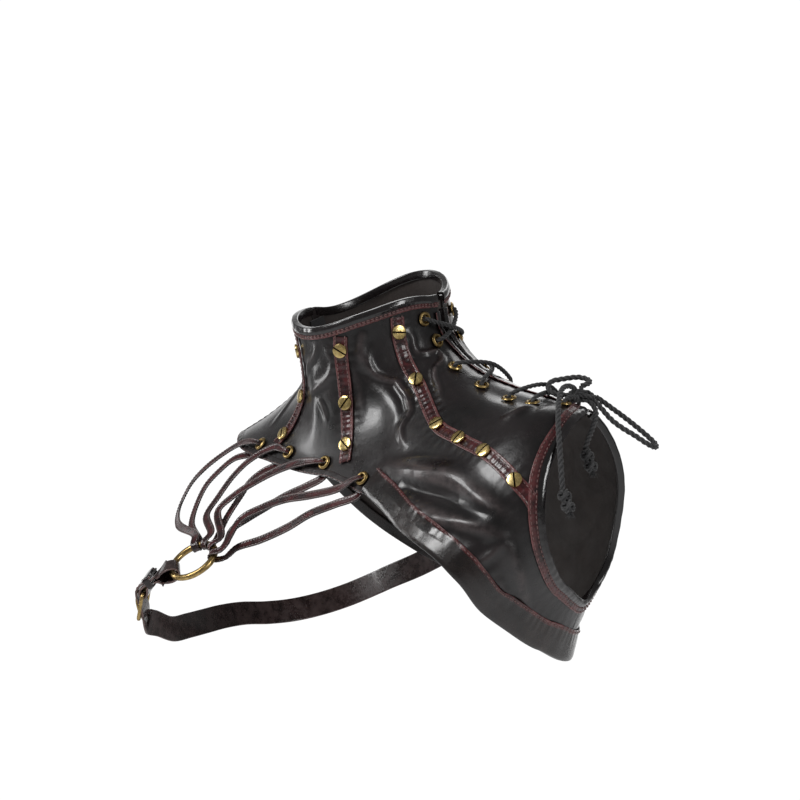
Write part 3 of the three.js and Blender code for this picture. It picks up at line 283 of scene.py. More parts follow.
def catmull_rom(points, per_span=24, closed=False):
    """Dense points on a smooth centripetal curve through the given ones."""
    points = np.asarray(points, float)
    if closed:
        padded = np.vstack([points[-1], points, points[:2]])
    else:
        padded = np.vstack([2 * points[0] - points[1], points, 2 * points[-1] - points[-2]])
    share = np.linspace(0, 1, per_span, endpoint=False)[:, None]
    spans = []
    for p0, p1, p2, p3 in zip(padded, padded[1:], padded[2:], padded[3:]):
        d0, d1, d2 = (max(np.linalg.norm(b - a), 1e-6) ** 0.5 for a, b in ((p0, p1), (p1, p2), (p2, p3)))
        m1 = ((p1 - p0) / d0 - (p2 - p0) / (d0 + d1) + (p2 - p1) / d1) * d1
        m2 = ((p2 - p1) / d1 - (p3 - p1) / (d1 + d2) + (p3 - p2) / d2) * d1
        cubic = 2 * p1 - 2 * p2 + m1 + m2
        square = -3 * p1 + 3 * p2 - 2 * m1 - m2
        spans.append(p1 + share * (m1 + share * (square + share * cubic)))
    return np.vstack(spans if closed else [*spans, points[-1:]])


def lengths_along(points):
    """The distance of each point from the first, along the line."""
    steps = np.linalg.norm(np.diff(points, axis=0), axis=1)
    return np.concatenate([[0], np.cumsum(steps)])


def evenly(values, along, spacing):
    """The rows of values at even steps of about the spacing along a length."""
    count = max(2, round(along[-1] / spacing) + 1)
    places = np.linspace(0, along[-1], count)
    return np.stack([np.interp(places, along, column) for column in values.T], axis=1)


def smooth_noise(points, size, seed):
    """Noise between -1 and 1 that changes over about the given size."""
    cell = points / size + seed * 17.31
    corner = np.floor(cell).astype(np.int64)
    part = cell - corner
    weight = part * part * (3 - 2 * part)
    total = np.zeros(points.shape[:-1])
    for dx in (0, 1):
        for dy in (0, 1):
            for dz in (0, 1):
                x, y, z = corner[..., 0] + dx, corner[..., 1] + dy, corner[..., 2] + dz
                mixed = (x * 374761393 + y * 668265263 + z * 974634777 + seed * 69069) & 0xFFFFFFFF
                mixed = ((mixed ^ (mixed >> 13)) * 1274126177) & 0xFFFFFFFF
                value = ((mixed ^ (mixed >> 16)) & 0xFFFF) / 32767.5 - 1
                share = np.where(dx, weight[..., 0], 1 - weight[..., 0])
                share = share * np.where(dy, weight[..., 1], 1 - weight[..., 1])
                share = share * np.where(dz, weight[..., 2], 1 - weight[..., 2])
                total += value * share
    return total


def nearest(points, line):
    """The distance from each point to a line of points, and the place on it, counted in its points."""
    index = np.empty(len(points), int)
    line_squares = (line ** 2).sum(1)
    for start in range(0, len(points), 8192):
        block = points[start:start + 8192]
        squares = line_squares[None] - 2 * block @ line.T
        index[start:start + 8192] = squares.argmin(1)
    distance = np.linalg.norm(points - line[index], axis=1)
    place = index.astype(float)
    for step in (-1, 1):
        beside = np.clip(index + step, 0, len(line) - 1)
        way = line[beside] - line[index]
        share = ((points - line[index]) * way).sum(1) / np.maximum((way ** 2).sum(1), 1e-9)
        share = np.clip(share, 0, 1)
        reach = np.linalg.norm(points - line[index] - way * share[:, None], axis=1)
        closer = reach < distance
        distance = np.where(closer, reach, distance)
        place = np.where(closer, index + step * share, place)
    return distance, place


def at_places(values, places):
    """Values between those of a line's points."""
    return np.interp(places, np.arange(len(values)), values)


def level_sizes(level):
    """The sizes of the form at a level, on a smooth curve through the table."""
    last = len(LEVELS) - 1
    level = np.clip(np.asarray(level, float), 0, last)
    start = np.minimum(level.astype(int), last - 1)
    part = (level - start)[..., None]
    p1, p2 = LEVELS[start], LEVELS[start + 1]
    p0 = np.where((start > 0)[..., None], LEVELS[np.maximum(start - 1, 0)], 2 * p1 - p2)
    p3 = np.where((start < last - 1)[..., None], LEVELS[np.minimum(start + 2, last)], 2 * p2 - p1)
    square = 2 * p0 - 5 * p1 + 4 * p2 - p3
    cube = p3 - p0 + 3 * (p1 - p2)
    return 0.5 * (2 * p1 + part * (p2 - p0 + part * (square + part * cube)))


def form_point(angle, level):
    """A point of the form."""
    angle, level = np.broadcast_arrays(np.asarray(angle, float), np.asarray(level, float))
    left, right, front, back, z_front, z_left, z_right, z_back, power = np.moveaxis(level_sizes(level), -1, 0)
    sine, cosine = np.sin(np.radians(angle)), np.cos(np.radians(angle))
    x = np.where(sine > 0, left, right) * np.sign(sine) * np.abs(sine) ** (2 / power)
    y = (back + front) / 2 - (back - front) / 2 * np.sign(cosine) * np.abs(cosine) ** (2 / power)
    z = sine ** 2 * np.where(sine > 0, z_left, z_right) + cosine ** 2 * np.where(cosine > 0, z_front, z_back)
    across = (np.abs(x) - BUST["x"]) / BUST["spread_x"]
    along = (z - BUST["z"]) / BUST["spread_z"]
    swell = np.where(x > 0, BUST["left"], BUST["right"]) * np.maximum(cosine, 0)
    return np.stack([x, y - swell * np.exp(-(across ** 2 + along ** 2) / 2), z], -1)


def form_frame(angle, level):
    """The direction on the form of a growing angle, of a growing level, and outwards."""
    angle, level = np.asarray(angle, float), np.asarray(level, float)
    per_angle = form_point(angle + 0.5, level) - form_point(angle - 0.5, level)
    per_level = (form_point(angle, level + 0.02) - form_point(angle, level - 0.02)) / 0.04
    return per_angle, per_level, unit(np.cross(per_level, per_angle))


def step_along(angle, level, step):
    """The place on the form that a short step along it reaches."""
    per_angle, per_level, _ = form_frame(angle, level)
    pairs = ((per_angle, per_angle), (per_angle, per_level), (per_level, per_level))
    aa, ab, bb = ((u * v).sum(-1) for u, v in pairs)
    pa, pb = (per_angle * step).sum(-1), (per_level * step).sum(-1)
    size = aa * bb - ab * ab
    return angle + (pa * bb - pb * ab) / size, level + (pb * aa - pa * ab) / size


def smooth_route(route, spacing):
    """Places [angle, level, lift] on a smooth curve through a route, about a spacing apart on the form."""
    rows = np.array([[*place, 0][:3] for place in route], float)
    rows[:, 1] *= LEVEL_SPACING
    dense = catmull_rom(rows)
    dense[:, 1] /= LEVEL_SPACING
    return evenly(dense, lengths_along(form_point(dense[:, 0], dense[:, 1])), spacing)


def ridge_lines(table, spacing):
    """A line of points, the height and the half width for each row of a table of folds."""
    lines = []
    for route, height, width in table:
        places = smooth_route(route, spacing)
        lines.append((form_point(places[:, 0], places[:, 1]), height, width))
    return lines


FOLD_LINES = ridge_lines(FOLDS, 4)
CREASE_LINES = ridge_lines(CREASES, 1.2)


def fold_lift(points):
    """How far the broad folds lift the leather off the form."""
    lift = np.zeros(len(points))
    for line, height, width in FOLD_LINES:
        distance, place = nearest(points, line)
        rise = np.sin(np.pi * (0.08 + 0.84 * place / (len(line) - 1)))
        lift += height * rise * np.exp(-((distance / width) ** 2))
    return lift


def crease_lift(points):
    """The sharp creases: a ridge with a slight dip on both sides, fading at its ends."""
    lift = np.zeros(len(points))
    for line, height, width in CREASE_LINES:
        distance, place = nearest(points, line)
        rise = np.maximum(np.sin(np.pi * place / (len(line) - 1)), 0) ** 0.8
        wander = 0.9 + 0.2 * at_places(smooth_noise(line, 7 * width, 3), place)
        ridge = np.exp(-((distance / width) ** 2)) - 0.35 * np.exp(-(((distance - 2.1 * width) / width) ** 2))
        lift += height * rise * wander * ridge
    return lift


def relief(points):
    """How far the leather lies off the smooth form, with every fold, crease and wave."""
    flat = points.reshape(-1, 3)
    waves = 0.45 * smooth_noise(flat, 38, 1) + 0.07 * smooth_noise(flat, 15, 2)
    return (fold_lift(flat) + crease_lift(flat) + waves).reshape(points.shape[:-1])


def lay(angle, level, lift, creased=True):
    """Points at heights over the leather's form, or over the form of the solids."""
    point = form_point(angle, level)
    outwards = form_frame(angle, level)[2]
    flat = point.reshape(-1, 3)
    rise = relief(flat) if creased else fold_lift(flat)
    return point + outwards * (lift + rise.reshape(point.shape[:-1]))[..., None]


def on_solids(angle, level, lift):
    return lay(angle, level, lift, creased=False)


# Materials


class Nodes:
    """The node tree of one material, with a short way to add and join nodes."""

    def __init__(self, name, **shader):
        self.material = bpy.data.materials.new(name)
        self.material.use_nodes = True
        self.tree = self.material.node_tree
        self.shader = self.tree.nodes["Principled BSDF"]
        for socket, value in shader.items():
            self.shader.inputs[socket.replace("_", " ")].default_value = value
        self.place = self.add("ShaderNodeTexCoord").outputs["Object"]

    def add(self, kind, **settings):
        node = self.tree.nodes.new(kind)
        for name, value in settings.items():
            setattr(node, name, value)
        return node

    def join(self, source, target):
        self.tree.links.new(source, target)

    def noise(self, scale, detail=3.0, roughness=0.55, distortion=0.0):
        node = self.add("ShaderNodeTexNoise")
        node.inputs["Scale"].default_value = scale
        node.inputs["Detail"].default_value = detail
        node.inputs["Roughness"].default_value = roughness
        node.inputs["Distortion"].default_value = distortion
        self.join(self.place, node.inputs["Vector"])
        return node.outputs["Fac"]

    def cells(self, scale):
        node = self.add("ShaderNodeTexVoronoi", feature="DISTANCE_TO_EDGE")
        node.inputs["Scale"].default_value = scale
        self.join(self.place, node.inputs["Vector"])
        return node.outputs["Distance"]

    def attribute(self, name):
        return self.add("ShaderNodeAttribute", attribute_name=name).outputs["Fac"]

    def between(self, source, low, high, to_low=0.0, to_high=1.0):
        node = self.add("ShaderNodeMapRange")
        for socket, value in zip(("From Min", "From Max", "To Min", "To Max"), (low, high, to_low, to_high)):
            node.inputs[socket].default_value = value
        self.join(source, node.inputs["Value"])
        return node.outputs["Result"]

    def maths(self, operation, first, second):
        node = self.add("ShaderNodeMath", operation=operation)
        for socket, value in zip(node.inputs, (first, second)):
            if isinstance(value, (int, float)):
                socket.default_value = value
            else:
                self.join(value, socket)
        return node.outputs["Value"]

    def blend(self, share, first, second):
        """A colour between two, each a tuple or the output of another node."""
        node = self.add("ShaderNodeMix", data_type="RGBA")
        self.join(share, node.inputs[0])
        for socket, value in zip((node.inputs[6], node.inputs[7]), (first, second)):
            if isinstance(value, tuple):
                socket.default_value = (*value, 1)
            else:
                self.join(value, socket)
        return node.outputs[2]

    def bump(self, height, strength, distance, below=None):
        node = self.add("ShaderNodeBump")
        node.inputs["Strength"].default_value = strength
        node.inputs["Distance"].default_value = distance
        self.join(height, node.inputs["Height"])
        if below is not None:
            self.join(below, node.inputs["Normal"])
        return node.outputs["Normal"]

    def finish(self, colour, roughness=None, normal=None):
        sockets = {"Base Color": colour, "Roughness": roughness, "Normal": normal}
        for name, source in sockets.items():
            if source is not None:
                self.join(source, self.shader.inputs[name])
        return self.material


def leather_material(name, dark, light, worn, rough=(0.26, 0.36), grain=0.12, coat=0.4, mottle=28):
    """Smooth, slightly glossy leather: clouded colour, fine grain, hair wrinkles, and worn ridges."""
    nodes = Nodes(name, Coat_Weight=coat, Coat_Roughness=0.16, IOR=1.45)
    clouds = nodes.noise(mottle, 4, 0.6, 0.4)
    colour = nodes.blend(nodes.between(clouds, 0.38, 0.66), dark, light)
    scuffs = nodes.between(nodes.noise(170, 5, 0.7, 0.6), 0.52, 0.74)
    rubbed = nodes.between(nodes.noise(120, 4, 0.7), 0.3, 0.62)
    wear_and_groove_shade = nodes.maths("MULTIPLY", nodes.attribute("wear_and_groove_shade"), rubbed)
    wear_and_groove_shade = nodes.maths("MAXIMUM", wear_and_groove_shade, nodes.maths("MULTIPLY", scuffs, 0.1))
    colour = nodes.blend(wear_and_groove_shade, colour, worn)
    pores = nodes.cells(1150)
    colour = nodes.blend(nodes.between(pores, 0.0, 0.12, 0.35, 0.0), colour, tuple(0.45 * c for c in dark))
    roughness = nodes.between(nodes.noise(60, 4, 0.6), 0.3, 0.7, *rough)
    roughness = nodes.maths("ADD", roughness, nodes.maths("MULTIPLY", wear_and_groove_shade, 0.16))
    wrinkles = nodes.bump(nodes.noise(210, 4, 0.6, 1.2), 0.16, 0.0012)
    normal = nodes.bump(nodes.between(pores, 0.0, 0.25), grain, 0.00025, wrinkles)
    normal = nodes.bump(nodes.noise(2600, 2, 0.5), grain * 0.5, 0.00012, normal)
    return nodes.finish(colour, roughness, normal)


def metal_material(name, bright, dull, tarnish, rough=(0.2, 0.42), dents=0.1):
    """Aged brass: brighter where it is rubbed, brown in its hollows, finely scratched."""
    nodes = Nodes(name, Metallic=1.0)
    clouds = nodes.between(nodes.noise(130, 5, 0.65, 0.5), 0.35, 0.68)
    colour = nodes.blend(clouds, bright, dull)
    stains = nodes.between(nodes.noise(420, 5, 0.7, 0.8), 0.52, 0.7)
    colour = nodes.blend(nodes.maths("MULTIPLY", stains, 0.75), colour, tarnish)
    roughness = nodes.between(nodes.noise(260, 4, 0.6), 0.3, 0.7, *rough)
    roughness = nodes.maths("ADD", roughness, nodes.maths("MULTIPLY", stains, 0.2))
    dented = nodes.bump(nodes.noise(380, 3, 0.5), dents, 0.0006)
    normal = nodes.bump(nodes.noise(3200, 3, 0.6, 2.0), 0.12, 0.0001, dented)
    return nodes.finish(colour, roughness, normal)


def fibre_material(name, dark, light, fibres=0.6, shaded_grooves=False):
    """Matte thread or cord with fine fibres, with painted shade in the grooves between its strands if it has
    them.
    """
    nodes = Nodes(name, Sheen_Weight=0.25, Sheen_Roughness=0.4, Roughness=0.78)
    fine = nodes.noise(2400, 4, 0.7, 1.5)
    patches = nodes.between(nodes.noise(160, 3, 0.6), 0.25, 0.75, 0.5, 1.0)
    share = nodes.maths("MULTIPLY", nodes.between(fine, 0.35, 0.72), patches)
    # Painted shade: the light fibres show only on the strands' crests, so the grooves between the strands
    # stay dark.
    if shaded_grooves:
        share = nodes.maths("MULTIPLY", share, nodes.attribute("wear_and_groove_shade"))
    colour = nodes.blend(share, dark, light)
    normal = nodes.bump(fine, fibres, 0.0003)
    return nodes.finish(colour, None, normal)


PAINT = {
    "leather": leather_material(
        "black_leather", (0.0045, 0.0036, 0.0038), (0.013, 0.0092, 0.0098), (0.07, 0.052, 0.052)),
    "lining": leather_material(
        "lining_leather", (0.024, 0.018, 0.016), (0.042, 0.032, 0.028), (0.09, 0.07, 0.06),
        rough=(0.6, 0.8), grain=0.3, coat=0.0),
    "hem": leather_material(
        "hem_leather", (0.0045, 0.0034, 0.0034), (0.013, 0.0085, 0.0082), (0.13, 0.08, 0.062),
        rough=(0.2, 0.32), coat=0.5),
    "oxblood": leather_material(
        "oxblood_leather", (0.012, 0.0032, 0.0038), (0.085, 0.0125, 0.0145), (0.24, 0.09, 0.088),
        rough=(0.22, 0.34), mottle=110),
    "roll": leather_material(
        "edge_leather", (0.0045, 0.0034, 0.0036), (0.010, 0.007, 0.0075), (0.12, 0.09, 0.09),
        rough=(0.12, 0.22), grain=0.05, coat=0.8),
    "strap": leather_material(
        "strap_leather", (0.005, 0.0035, 0.0037), (0.017, 0.0075, 0.0078), (0.12, 0.08, 0.076),
        rough=(0.16, 0.3), coat=0.6),
    "ridge": leather_material(
        "ridge_leather", (0.040, 0.021, 0.021), (0.12, 0.072, 0.068), (0.30, 0.2, 0.185),
        rough=(0.26, 0.42)),
    "brass": metal_material(
        "antique_brass", (0.56, 0.40, 0.165), (0.30, 0.205, 0.08), (0.075, 0.05, 0.028)),
    "pale_brass": metal_material(
        "pale_brass", (0.86, 0.67, 0.30), (0.62, 0.45, 0.17), (0.2, 0.13, 0.05),
        rough=(0.16, 0.32), dents=0.16),
    "slot": metal_material(
        "slot_shadow", (0.045, 0.030, 0.014), (0.022, 0.015, 0.008), (0.010, 0.007, 0.005),
        rough=(0.6, 0.8)),
    # The cord paint puts painted shade in the grooves between the strands.
    "cord": fibre_material("cord_fibre", (0.0055, 0.0055, 0.006), (0.15, 0.148, 0.152), shaded_grooves=True),
    "thread": fibre_material("stitch_thread", (0.10, 0.045, 0.043), (0.34, 0.2, 0.185), 0.35),
    "tape": fibre_material("zip_tape", (0.010, 0.010, 0.011), (0.035, 0.033, 0.034), 0.5),
}


# Meshes


class Shape:
    """Vertices in millimetres with their wear (on cords, painted shade in the grooves), and faces with their
    paint.
    """

    def __init__(self):
        self.vertices = []
        self.faces = []
        self.paints = []
        self.wear_and_groove_shade = []
        self.count = 0

    def add(self, vertices, faces, paint, wear_and_groove_shade=0.0):
        """Adds faces that all have as many corners; paint is one name, or one for each face."""
        vertices = np.asarray(vertices, float).reshape(-1, 3)
        self.vertices.append(vertices)
        self.faces += (np.asarray(faces, int) + self.count).tolist()
        self.paints += [paint] * len(faces) if isinstance(paint, str) else list(paint)
        self.wear_and_groove_shade.append(np.broadcast_to(np.asarray(wear_and_groove_shade, float).reshape(-1), len(vertices)))
        self.count += len(vertices)

    def piece(self, name, replaces=True, sharp=None):
        """Makes the Blender object, which stands for the node of the same name where there is one."""
        mesh = bpy.data.meshes.new(name)
        mesh.from_pydata((np.vstack(self.vertices) * MM).tolist(), [], self.faces)
        names = sorted(set(self.paints))
        for paint in names:
            mesh.materials.append(PAINT[paint])
        index = {paint: number for number, paint in enumerate(names)}
        mesh.polygons.foreach_set("material_index", [index[paint] for paint in self.paints])
        # Per-vertex wear, and on cords the painted shade of the grooves between strands.
        wear_and_groove_shade = mesh.attributes.new("wear_and_groove_shade", "FLOAT", "POINT")
        wear_and_groove_shade.data.foreach_set("value", np.concatenate(self.wear_and_groove_shade).astype(np.float32))
        mesh.shade_smooth()
        if sharp is not None:
            mesh.set_sharp_from_angle(angle=math.radians(sharp))
        made = bpy.data.objects.new(name + "_look", mesh)
        bpy.context.collection.objects.link(made)
        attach(made, "root")
        if replaces:
            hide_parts(name)
        return made


def grid_faces(rows, columns, closed_rows=False, closed_columns=True):
    """The quads between rows of points. Closed columns join the last point of a row to its first."""
    row = np.arange(rows if closed_rows else rows - 1)[:, None]
    column = np.arange(columns if closed_columns else columns - 1)[None]
    below, beside = (row + 1) % rows, (column + 1) % columns
    corners = (row * columns + column, row * columns + beside,
               below * columns + beside, below * columns + column)
    return np.stack(np.broadcast_arrays(*corners), -1).reshape(-1, 4)


def add_loft(shape, rings, paint, wear_and_groove_shade=0.0, closed=False):
    """A skin through rings of points, [ring, point, xyz]. Paint is one name, or one for each side."""
    rings = np.asarray(rings)
    count, points = rings.shape[:2]
    faces = grid_faces(count, points, closed_rows=closed)
    paints = paint if isinstance(paint, str) else list(paint) * (len(faces) // points)
    shape.add(rings, faces, paints, wear_and_groove_shade)
    if closed:
        return
    for ring, backwards in ((rings[0], True), (rings[-1], False)):
        middle = ring.mean(0)
        ends = [[i, (i + 1) % points, points] for i in range(points)]
        if backwards:
            ends = [[b, a, c] for a, b, c in ends]
        shape.add(np.vstack([ring, middle]), ends, paint if isinstance(paint, str) else paint[0])


def add_copies(shape, rings, paint):
    """Skins without ends, all alike, through rings of points, [copy, ring, point, xyz]."""
    copies, count, points = rings.shape[:3]
    starts = (np.arange(copies) * count * points)[:, None, None]
    shape.add(rings, (starts + grid_faces(count, points)[None]).reshape(-1, 4), paint)


def rounded(corners, radius, steps=3):
    """A closed section with its corners rounded off."""
    corners = np.asarray(corners, float)
    points = []
    for before, here, after in zip(np.roll(corners, 1, 0), corners, np.roll(corners, -1, 0)):
        ways = [before - here, after - here]
        cuts = [way * min(radius / np.linalg.norm(way), 0.5) for way in ways]
        for share in np.linspace(0, 1, steps + 1):
            points.append(here + cuts[0] * (1 - share) ** 2 + cuts[1] * share ** 2)
    return np.array(points)


def travelling_frames(points, closed=False):
    """The direction of a line at each of its points, and two directions across it that don't twist."""
    if closed:
        ahead = unit(np.roll(points, -1, 0) - np.roll(points, 1, 0))
    else:
        ahead = unit(np.gradient(points, axis=0))
    first = np.cross(ahead[0], [0, 0, 1.0])
    if np.linalg.norm(first) < 0.2:
        first = np.cross(ahead[0], [0, 1.0, 0])
    side = [unit(first)]
    for way in ahead[1:]:
        moved = side[-1] - way * (side[-1] @ way)
        side.append(unit(moved))
    side = np.array(side)
    return ahead, side, np.cross(ahead, side)


def add_cord(shape, route, radius, closed=False):
    """A cord of three twisted strands along a route of points. Gives back the points of its middle."""
    points = catmull_rom(route, 40, closed)
    if closed:
        points = np.vstack([points, points[:1]])
    points = evenly(points, lengths_along(points), TWIST["spacing"])
    turns = lengths_along(points) / (TWIST["pitch"] * radius)
    if closed:
        turns *= round(turns[-1] * 3) / (turns[-1] * 3)
        points, turns = points[:-1], turns[:-1]
    _, side, up = travelling_frames(points, closed)
    turn = around(TWIST["around"])
    third = 2 * np.pi / 3
    strand = (turn[None] - 2 * np.pi * turns[:, None]) % third - third / 2
    half = 0.5 * radius
    reach = half * np.cos(strand) + np.sqrt(np.maximum(half ** 2 - (half * np.sin(strand)) ** 2, 0))
    # crest is 1 on the strands' crests and 0 in the grooves between them: painted shade in the grooves,
    # through the cord paint.
    crest = np.clip((reach / radius - 0.55) / 0.4, 0, 1)
    add_loft(shape, tube(points, side, up, reach[..., None], turn), "cord", crest, closed=closed)
    return points


def add_knot(shape, centre, axes, radius):
    """An overhand knot pulled tight: a trefoil of cord, on three half axes."""
    turn = around(60)
    reach = (2 + np.cos(3 * turn)) / 3
    trefoil = np.stack([reach * np.cos(2 * turn), reach * np.sin(2 * turn), np.sin(3 * turn)], 1)
    scale = 1 - radius / np.linalg.norm(axes, axis=1)
    add_cord(shape, centre + trefoil @ (axes * scale[:, None]), radius, closed=True)


def add_fray(shape, start, direction, seed):
    """Loose fibres at the cut end of a cord."""
    chance = np.random.default_rng(seed)
    direction = unit(direction)
    across = unit(np.cross(direction, [0.3, 0.8, 0.5]))
    other = np.cross(direction, across)
    share = np.linspace(0, 1, 6)[:, None]
    thick = np.linspace(*FRAY["thick"], 6)[:, None, None]
    for _ in range(FRAY["fibres"]):
        lean = chance.normal(size=2) * FRAY["spread"]
        reach = FRAY["length"] * chance.uniform(0.6, 1.0)
        curl = chance.normal(size=2) * FRAY["spread"] * 0.6
        way = direction * reach * share + (across * lean[0] + other * lean[1]) * share ** 0.8 * reach
        way = way + (across * curl[0] + other * curl[1]) * share ** 3 * reach
        line = start + (across * chance.normal() + other * chance.normal()) * 0.7 + way
        _, side, up = travelling_frames(line)
        add_loft(shape, tube(line, side, up, thick, around(4)), "cord", 0.7)


CAPSULE_ROUND = 6
CAPSULE_RINGS = ((-0.5, 0.25), (-0.42, 0.75), (-0.2, 1.0), (0.2, 1.0), (0.42, 0.75), (0.5, 0.25))


def add_stitches(shape, points, ahead, outwards, length=2.3, radius=0.38):
    """A short sunk capsule of thread at each point."""
    side = unit(np.cross(outwards, ahead))
    outwards = np.cross(ahead, side)
    rings = []
    for reach, thick in CAPSULE_RINGS:
        arch = 1 - (2 * reach) ** 2
        middle = points + ahead * (reach * length) + outwards * (0.22 * arch - 0.1)
        rings.append(tube(middle, side, outwards, radius * thick, around(CAPSULE_ROUND)))
    add_copies(shape, np.stack(rings, 1), "thread")


# Pieces that follow the form


def along_form(route, spacing, profile):
    """Rings of a section drawn along a route on the leather.

    The profile gives [across, lift] points for the distances along the route. Across grows to the
    left of the direction of travel, seen from outside.
    """
    places = smooth_route(route, spacing)
    angle, level, lift = places.T
    on = form_point(angle, level)
    outwards = form_frame(angle, level)[2]
    across = unit(np.cross(outwards, np.gradient(on, axis=0)))
    section = profile(lengths_along(on))
    step = across[:, None] * section[..., :1]
    angles, levels = step_along(angle[:, None], level[:, None], step)
    return lay(angles, levels, lift[:, None] + section[..., 1])


def seam_on_form(route, across, lift, spacing, creased=True):
    """Points, directions ahead and outwards on a line that runs beside a route."""
    places = smooth_route(route, spacing)
    angle, level = places[:, 0], places[:, 1]
    on = form_point(angle, level)
    outwards = form_frame(angle, level)[2]
    side = unit(np.cross(outwards, np.gradient(on, axis=0)))
    angles, levels = step_along(angle, level, side * across)
    points = lay(angles, levels, places[:, 2] + lift, creased)
    return points, unit(np.gradient(points, axis=0)), outwards


def puckers(distance, height, pitch, seed):
    """The uneven small waves that a seam pulls into leather, by the distance along it."""
    line = np.stack([distance, distance * 0, distance * 0], -1)
    shift = smooth_noise(line, 2.5 * pitch, seed)
    size = 0.65 + 0.5 * smooth_noise(line, 4 * pitch, seed + 1)
    return height * size * np.sin(2 * np.pi * (distance / pitch + 0.7 * shift))


def puckered(section, side, *waves):
    """A profile for along_form: a section with small waves, mirrored where side is -1.

    Each wave has its axis, height, pitch and seed, and how much of it each point of the section gets.
    """
    def profile(distance):
        rings = np.repeat(section[None], len(distance), 0)
        for axis, height, pitch, seed, share in waves:
            rings[..., axis] += puckers(distance, height, pitch, seed)[:, None] * share
        rings[..., 0] *= side
        return rings

    return profile


def binding(name, route, width, side, seed, fold=5.0):
    """A folded edging: a glossy black roll over the edge, and an oxblood band stitched along its edge."""
    under, top = -SEAT - TRIM, TOP + TRIM
    corners = [[under, under], [fold, under], [fold, -SEAT], [0.4, -SEAT], [-0.4, TOP], [width, TOP],
               [width, top], [ROLL + 0.9, top - 0.3], [ROLL * 0.55, top + 0.5], [under, top - 0.6]]
    section = rounded(corners, 1.0)
    on_top = np.clip((section[:, 1] - TOP) / TRIM, 0, 1)
    on_roll = np.clip(1 - section[:, 0] / (ROLL + 0.6), 0, 1) * on_top
    on_band = on_top - on_roll
    middles = (section + np.roll(section, -1, 0)) / 2
    paints = ["oxblood" if x > ROLL + 0.4 and y > 0 else "roll" for x, y in middles]
    wear_and_groove_shade = np.clip(1.4 * on_top * np.exp(-(((section[:, 0] - width) / 1.1) ** 2)), 0, 1)
    section[:, 0] -= 0.35 * on_roll
    waves = ((1, 0.22, 11, seed, on_roll), (1, 0.16, 5.2, seed + 5, on_band),
             (0, -0.16, 13, seed + 9, on_roll))
    rings = along_form(route, 1.3, puckered(section, side, *waves))
    shape = Shape()
    add_loft(shape, rings, paints, np.broadcast_to(wear_and_groove_shade, rings.shape[:2]))
    if width > EDGING["lacing"]:
        for across in (width - 1.5, ROLL + 1.5):
            add_stitches(shape, *seam_on_form(route, across * side, top + 0.1, 3.3))
    shape.piece(name)


def part_of_edge(edge, start, end):
    """Part of an edge that runs down, between two levels."""
    inner = [place for place in edge if start + 0.2 < place[1] < end - 0.2]

    def at(level):
        index = next(i for i, place in enumerate(edge) if place[1] >= level)
        (a0, l0), (a1, l1) = edge[index - 1], edge[index]
        return [a0 + (a1 - a0) * (level - l0) / (l1 - l0), level]

    return [at(start), *inner, at(end)]


ARMHOLE = [*FRONT["armhole"][:-1], [108, 9], *BACK["armhole"][:-1][::-1]]
HEM = [*FRONT["hem"][1:][::-1], [108, 10.5], *BACK["hem"][1:]]
LACING_EDGES = {
    "front": part_of_edge(FRONT["lacing"], 0.53, 5.45),
    "back": part_of_edge(BACK["lacing"], 0.5, 5.45),
}


# The camera and the light


def aim(thing, target):
    thing.rotation_euler = (Vector(target) - thing.location).to_track_quat("-Z", "Y").to_euler()


def add_camera():
    data = bpy.data.cameras.new("camera")
    data.lens = CAMERA["lens"]
    data.sensor_width = CAMERA["sensor"]
    camera = bpy.data.objects.new("camera", data)
    bpy.context.collection.objects.link(camera)
    turn, distance = math.radians(CAMERA["azimuth"]), CAMERA["distance"]
    camera.location = (distance * math.sin(turn), -distance * math.cos(turn), CAMERA["height"])
    aim(camera, CAMERA["target"])
    bpy.context.scene.camera = camera


def add_light(name, place, target, size, power):
    data = bpy.data.lights.new(name, "AREA")
    data.shape = "RECTANGLE"
    data.size, data.size_y = size
    data.energy = power
    light = bpy.data.objects.new(name, data)
    light.location = place
    bpy.context.collection.objects.link(light)
    aim(light, target)


def add_world():
    """A plain studio: white behind the garment as the photograph sees it, and darker in front of it."""
    world = bpy.data.worlds.new("studio")
    world.use_nodes = True
    tree = world.node_tree
    background = tree.nodes["Background"]
    background.inputs["Color"].default_value = (1.0, 1.0, 1.0, 1)
    behind = tree.nodes.new("ShaderNodeVectorMath")
    behind.operation = "DOT_PRODUCT"
    behind.inputs[1].default_value = BEHIND
    strength = tree.nodes.new("ShaderNodeMapRange")
    strength.interpolation_type = "SMOOTHSTEP"
    for socket, value in WORLD.items():
        strength.inputs[socket].default_value = value
    tree.links.new(tree.nodes.new("ShaderNodeTexCoord").outputs["Generated"], behind.inputs[0])
    tree.links.new(behind.outputs["Value"], strength.inputs["Value"])
    tree.links.new(strength.outputs["Result"], background.inputs["Strength"])
    bpy.context.scene.world = world


def add_studio():
    add_world()
    bpy.context.scene.view_settings.view_transform = "Standard"
    for light in LIGHTS:
        add_light(*light)
    floor = bpy.data.meshes.new("floor")
    reach = FLOOR["reach"]
    corners = ((-reach, -reach), (reach, -reach), (reach, reach), (-reach, reach))
    floor.from_pydata([(x, y, FLOOR["height"]) for x, y in corners], [], [(0, 1, 2, 3)])
    nodes = Nodes("floor_paint", Roughness=0.7, Emission_Color=(1, 1, 1, 1), Emission_Strength=FLOOR["glow"])
    speckle = nodes.blend(nodes.noise(3, 3), (0.78, 0.78, 0.79), (0.84, 0.84, 0.85))
    floor.materials.append(nodes.finish(speckle))
    made = bpy.data.objects.new("floor", floor)
    bpy.context.collection.objects.link(made)


# The cords


def add_free_cord(name, route):
    shape = Shape()
    points = add_cord(shape, route, CORD_RADIUS)
    made = shape.piece(name)


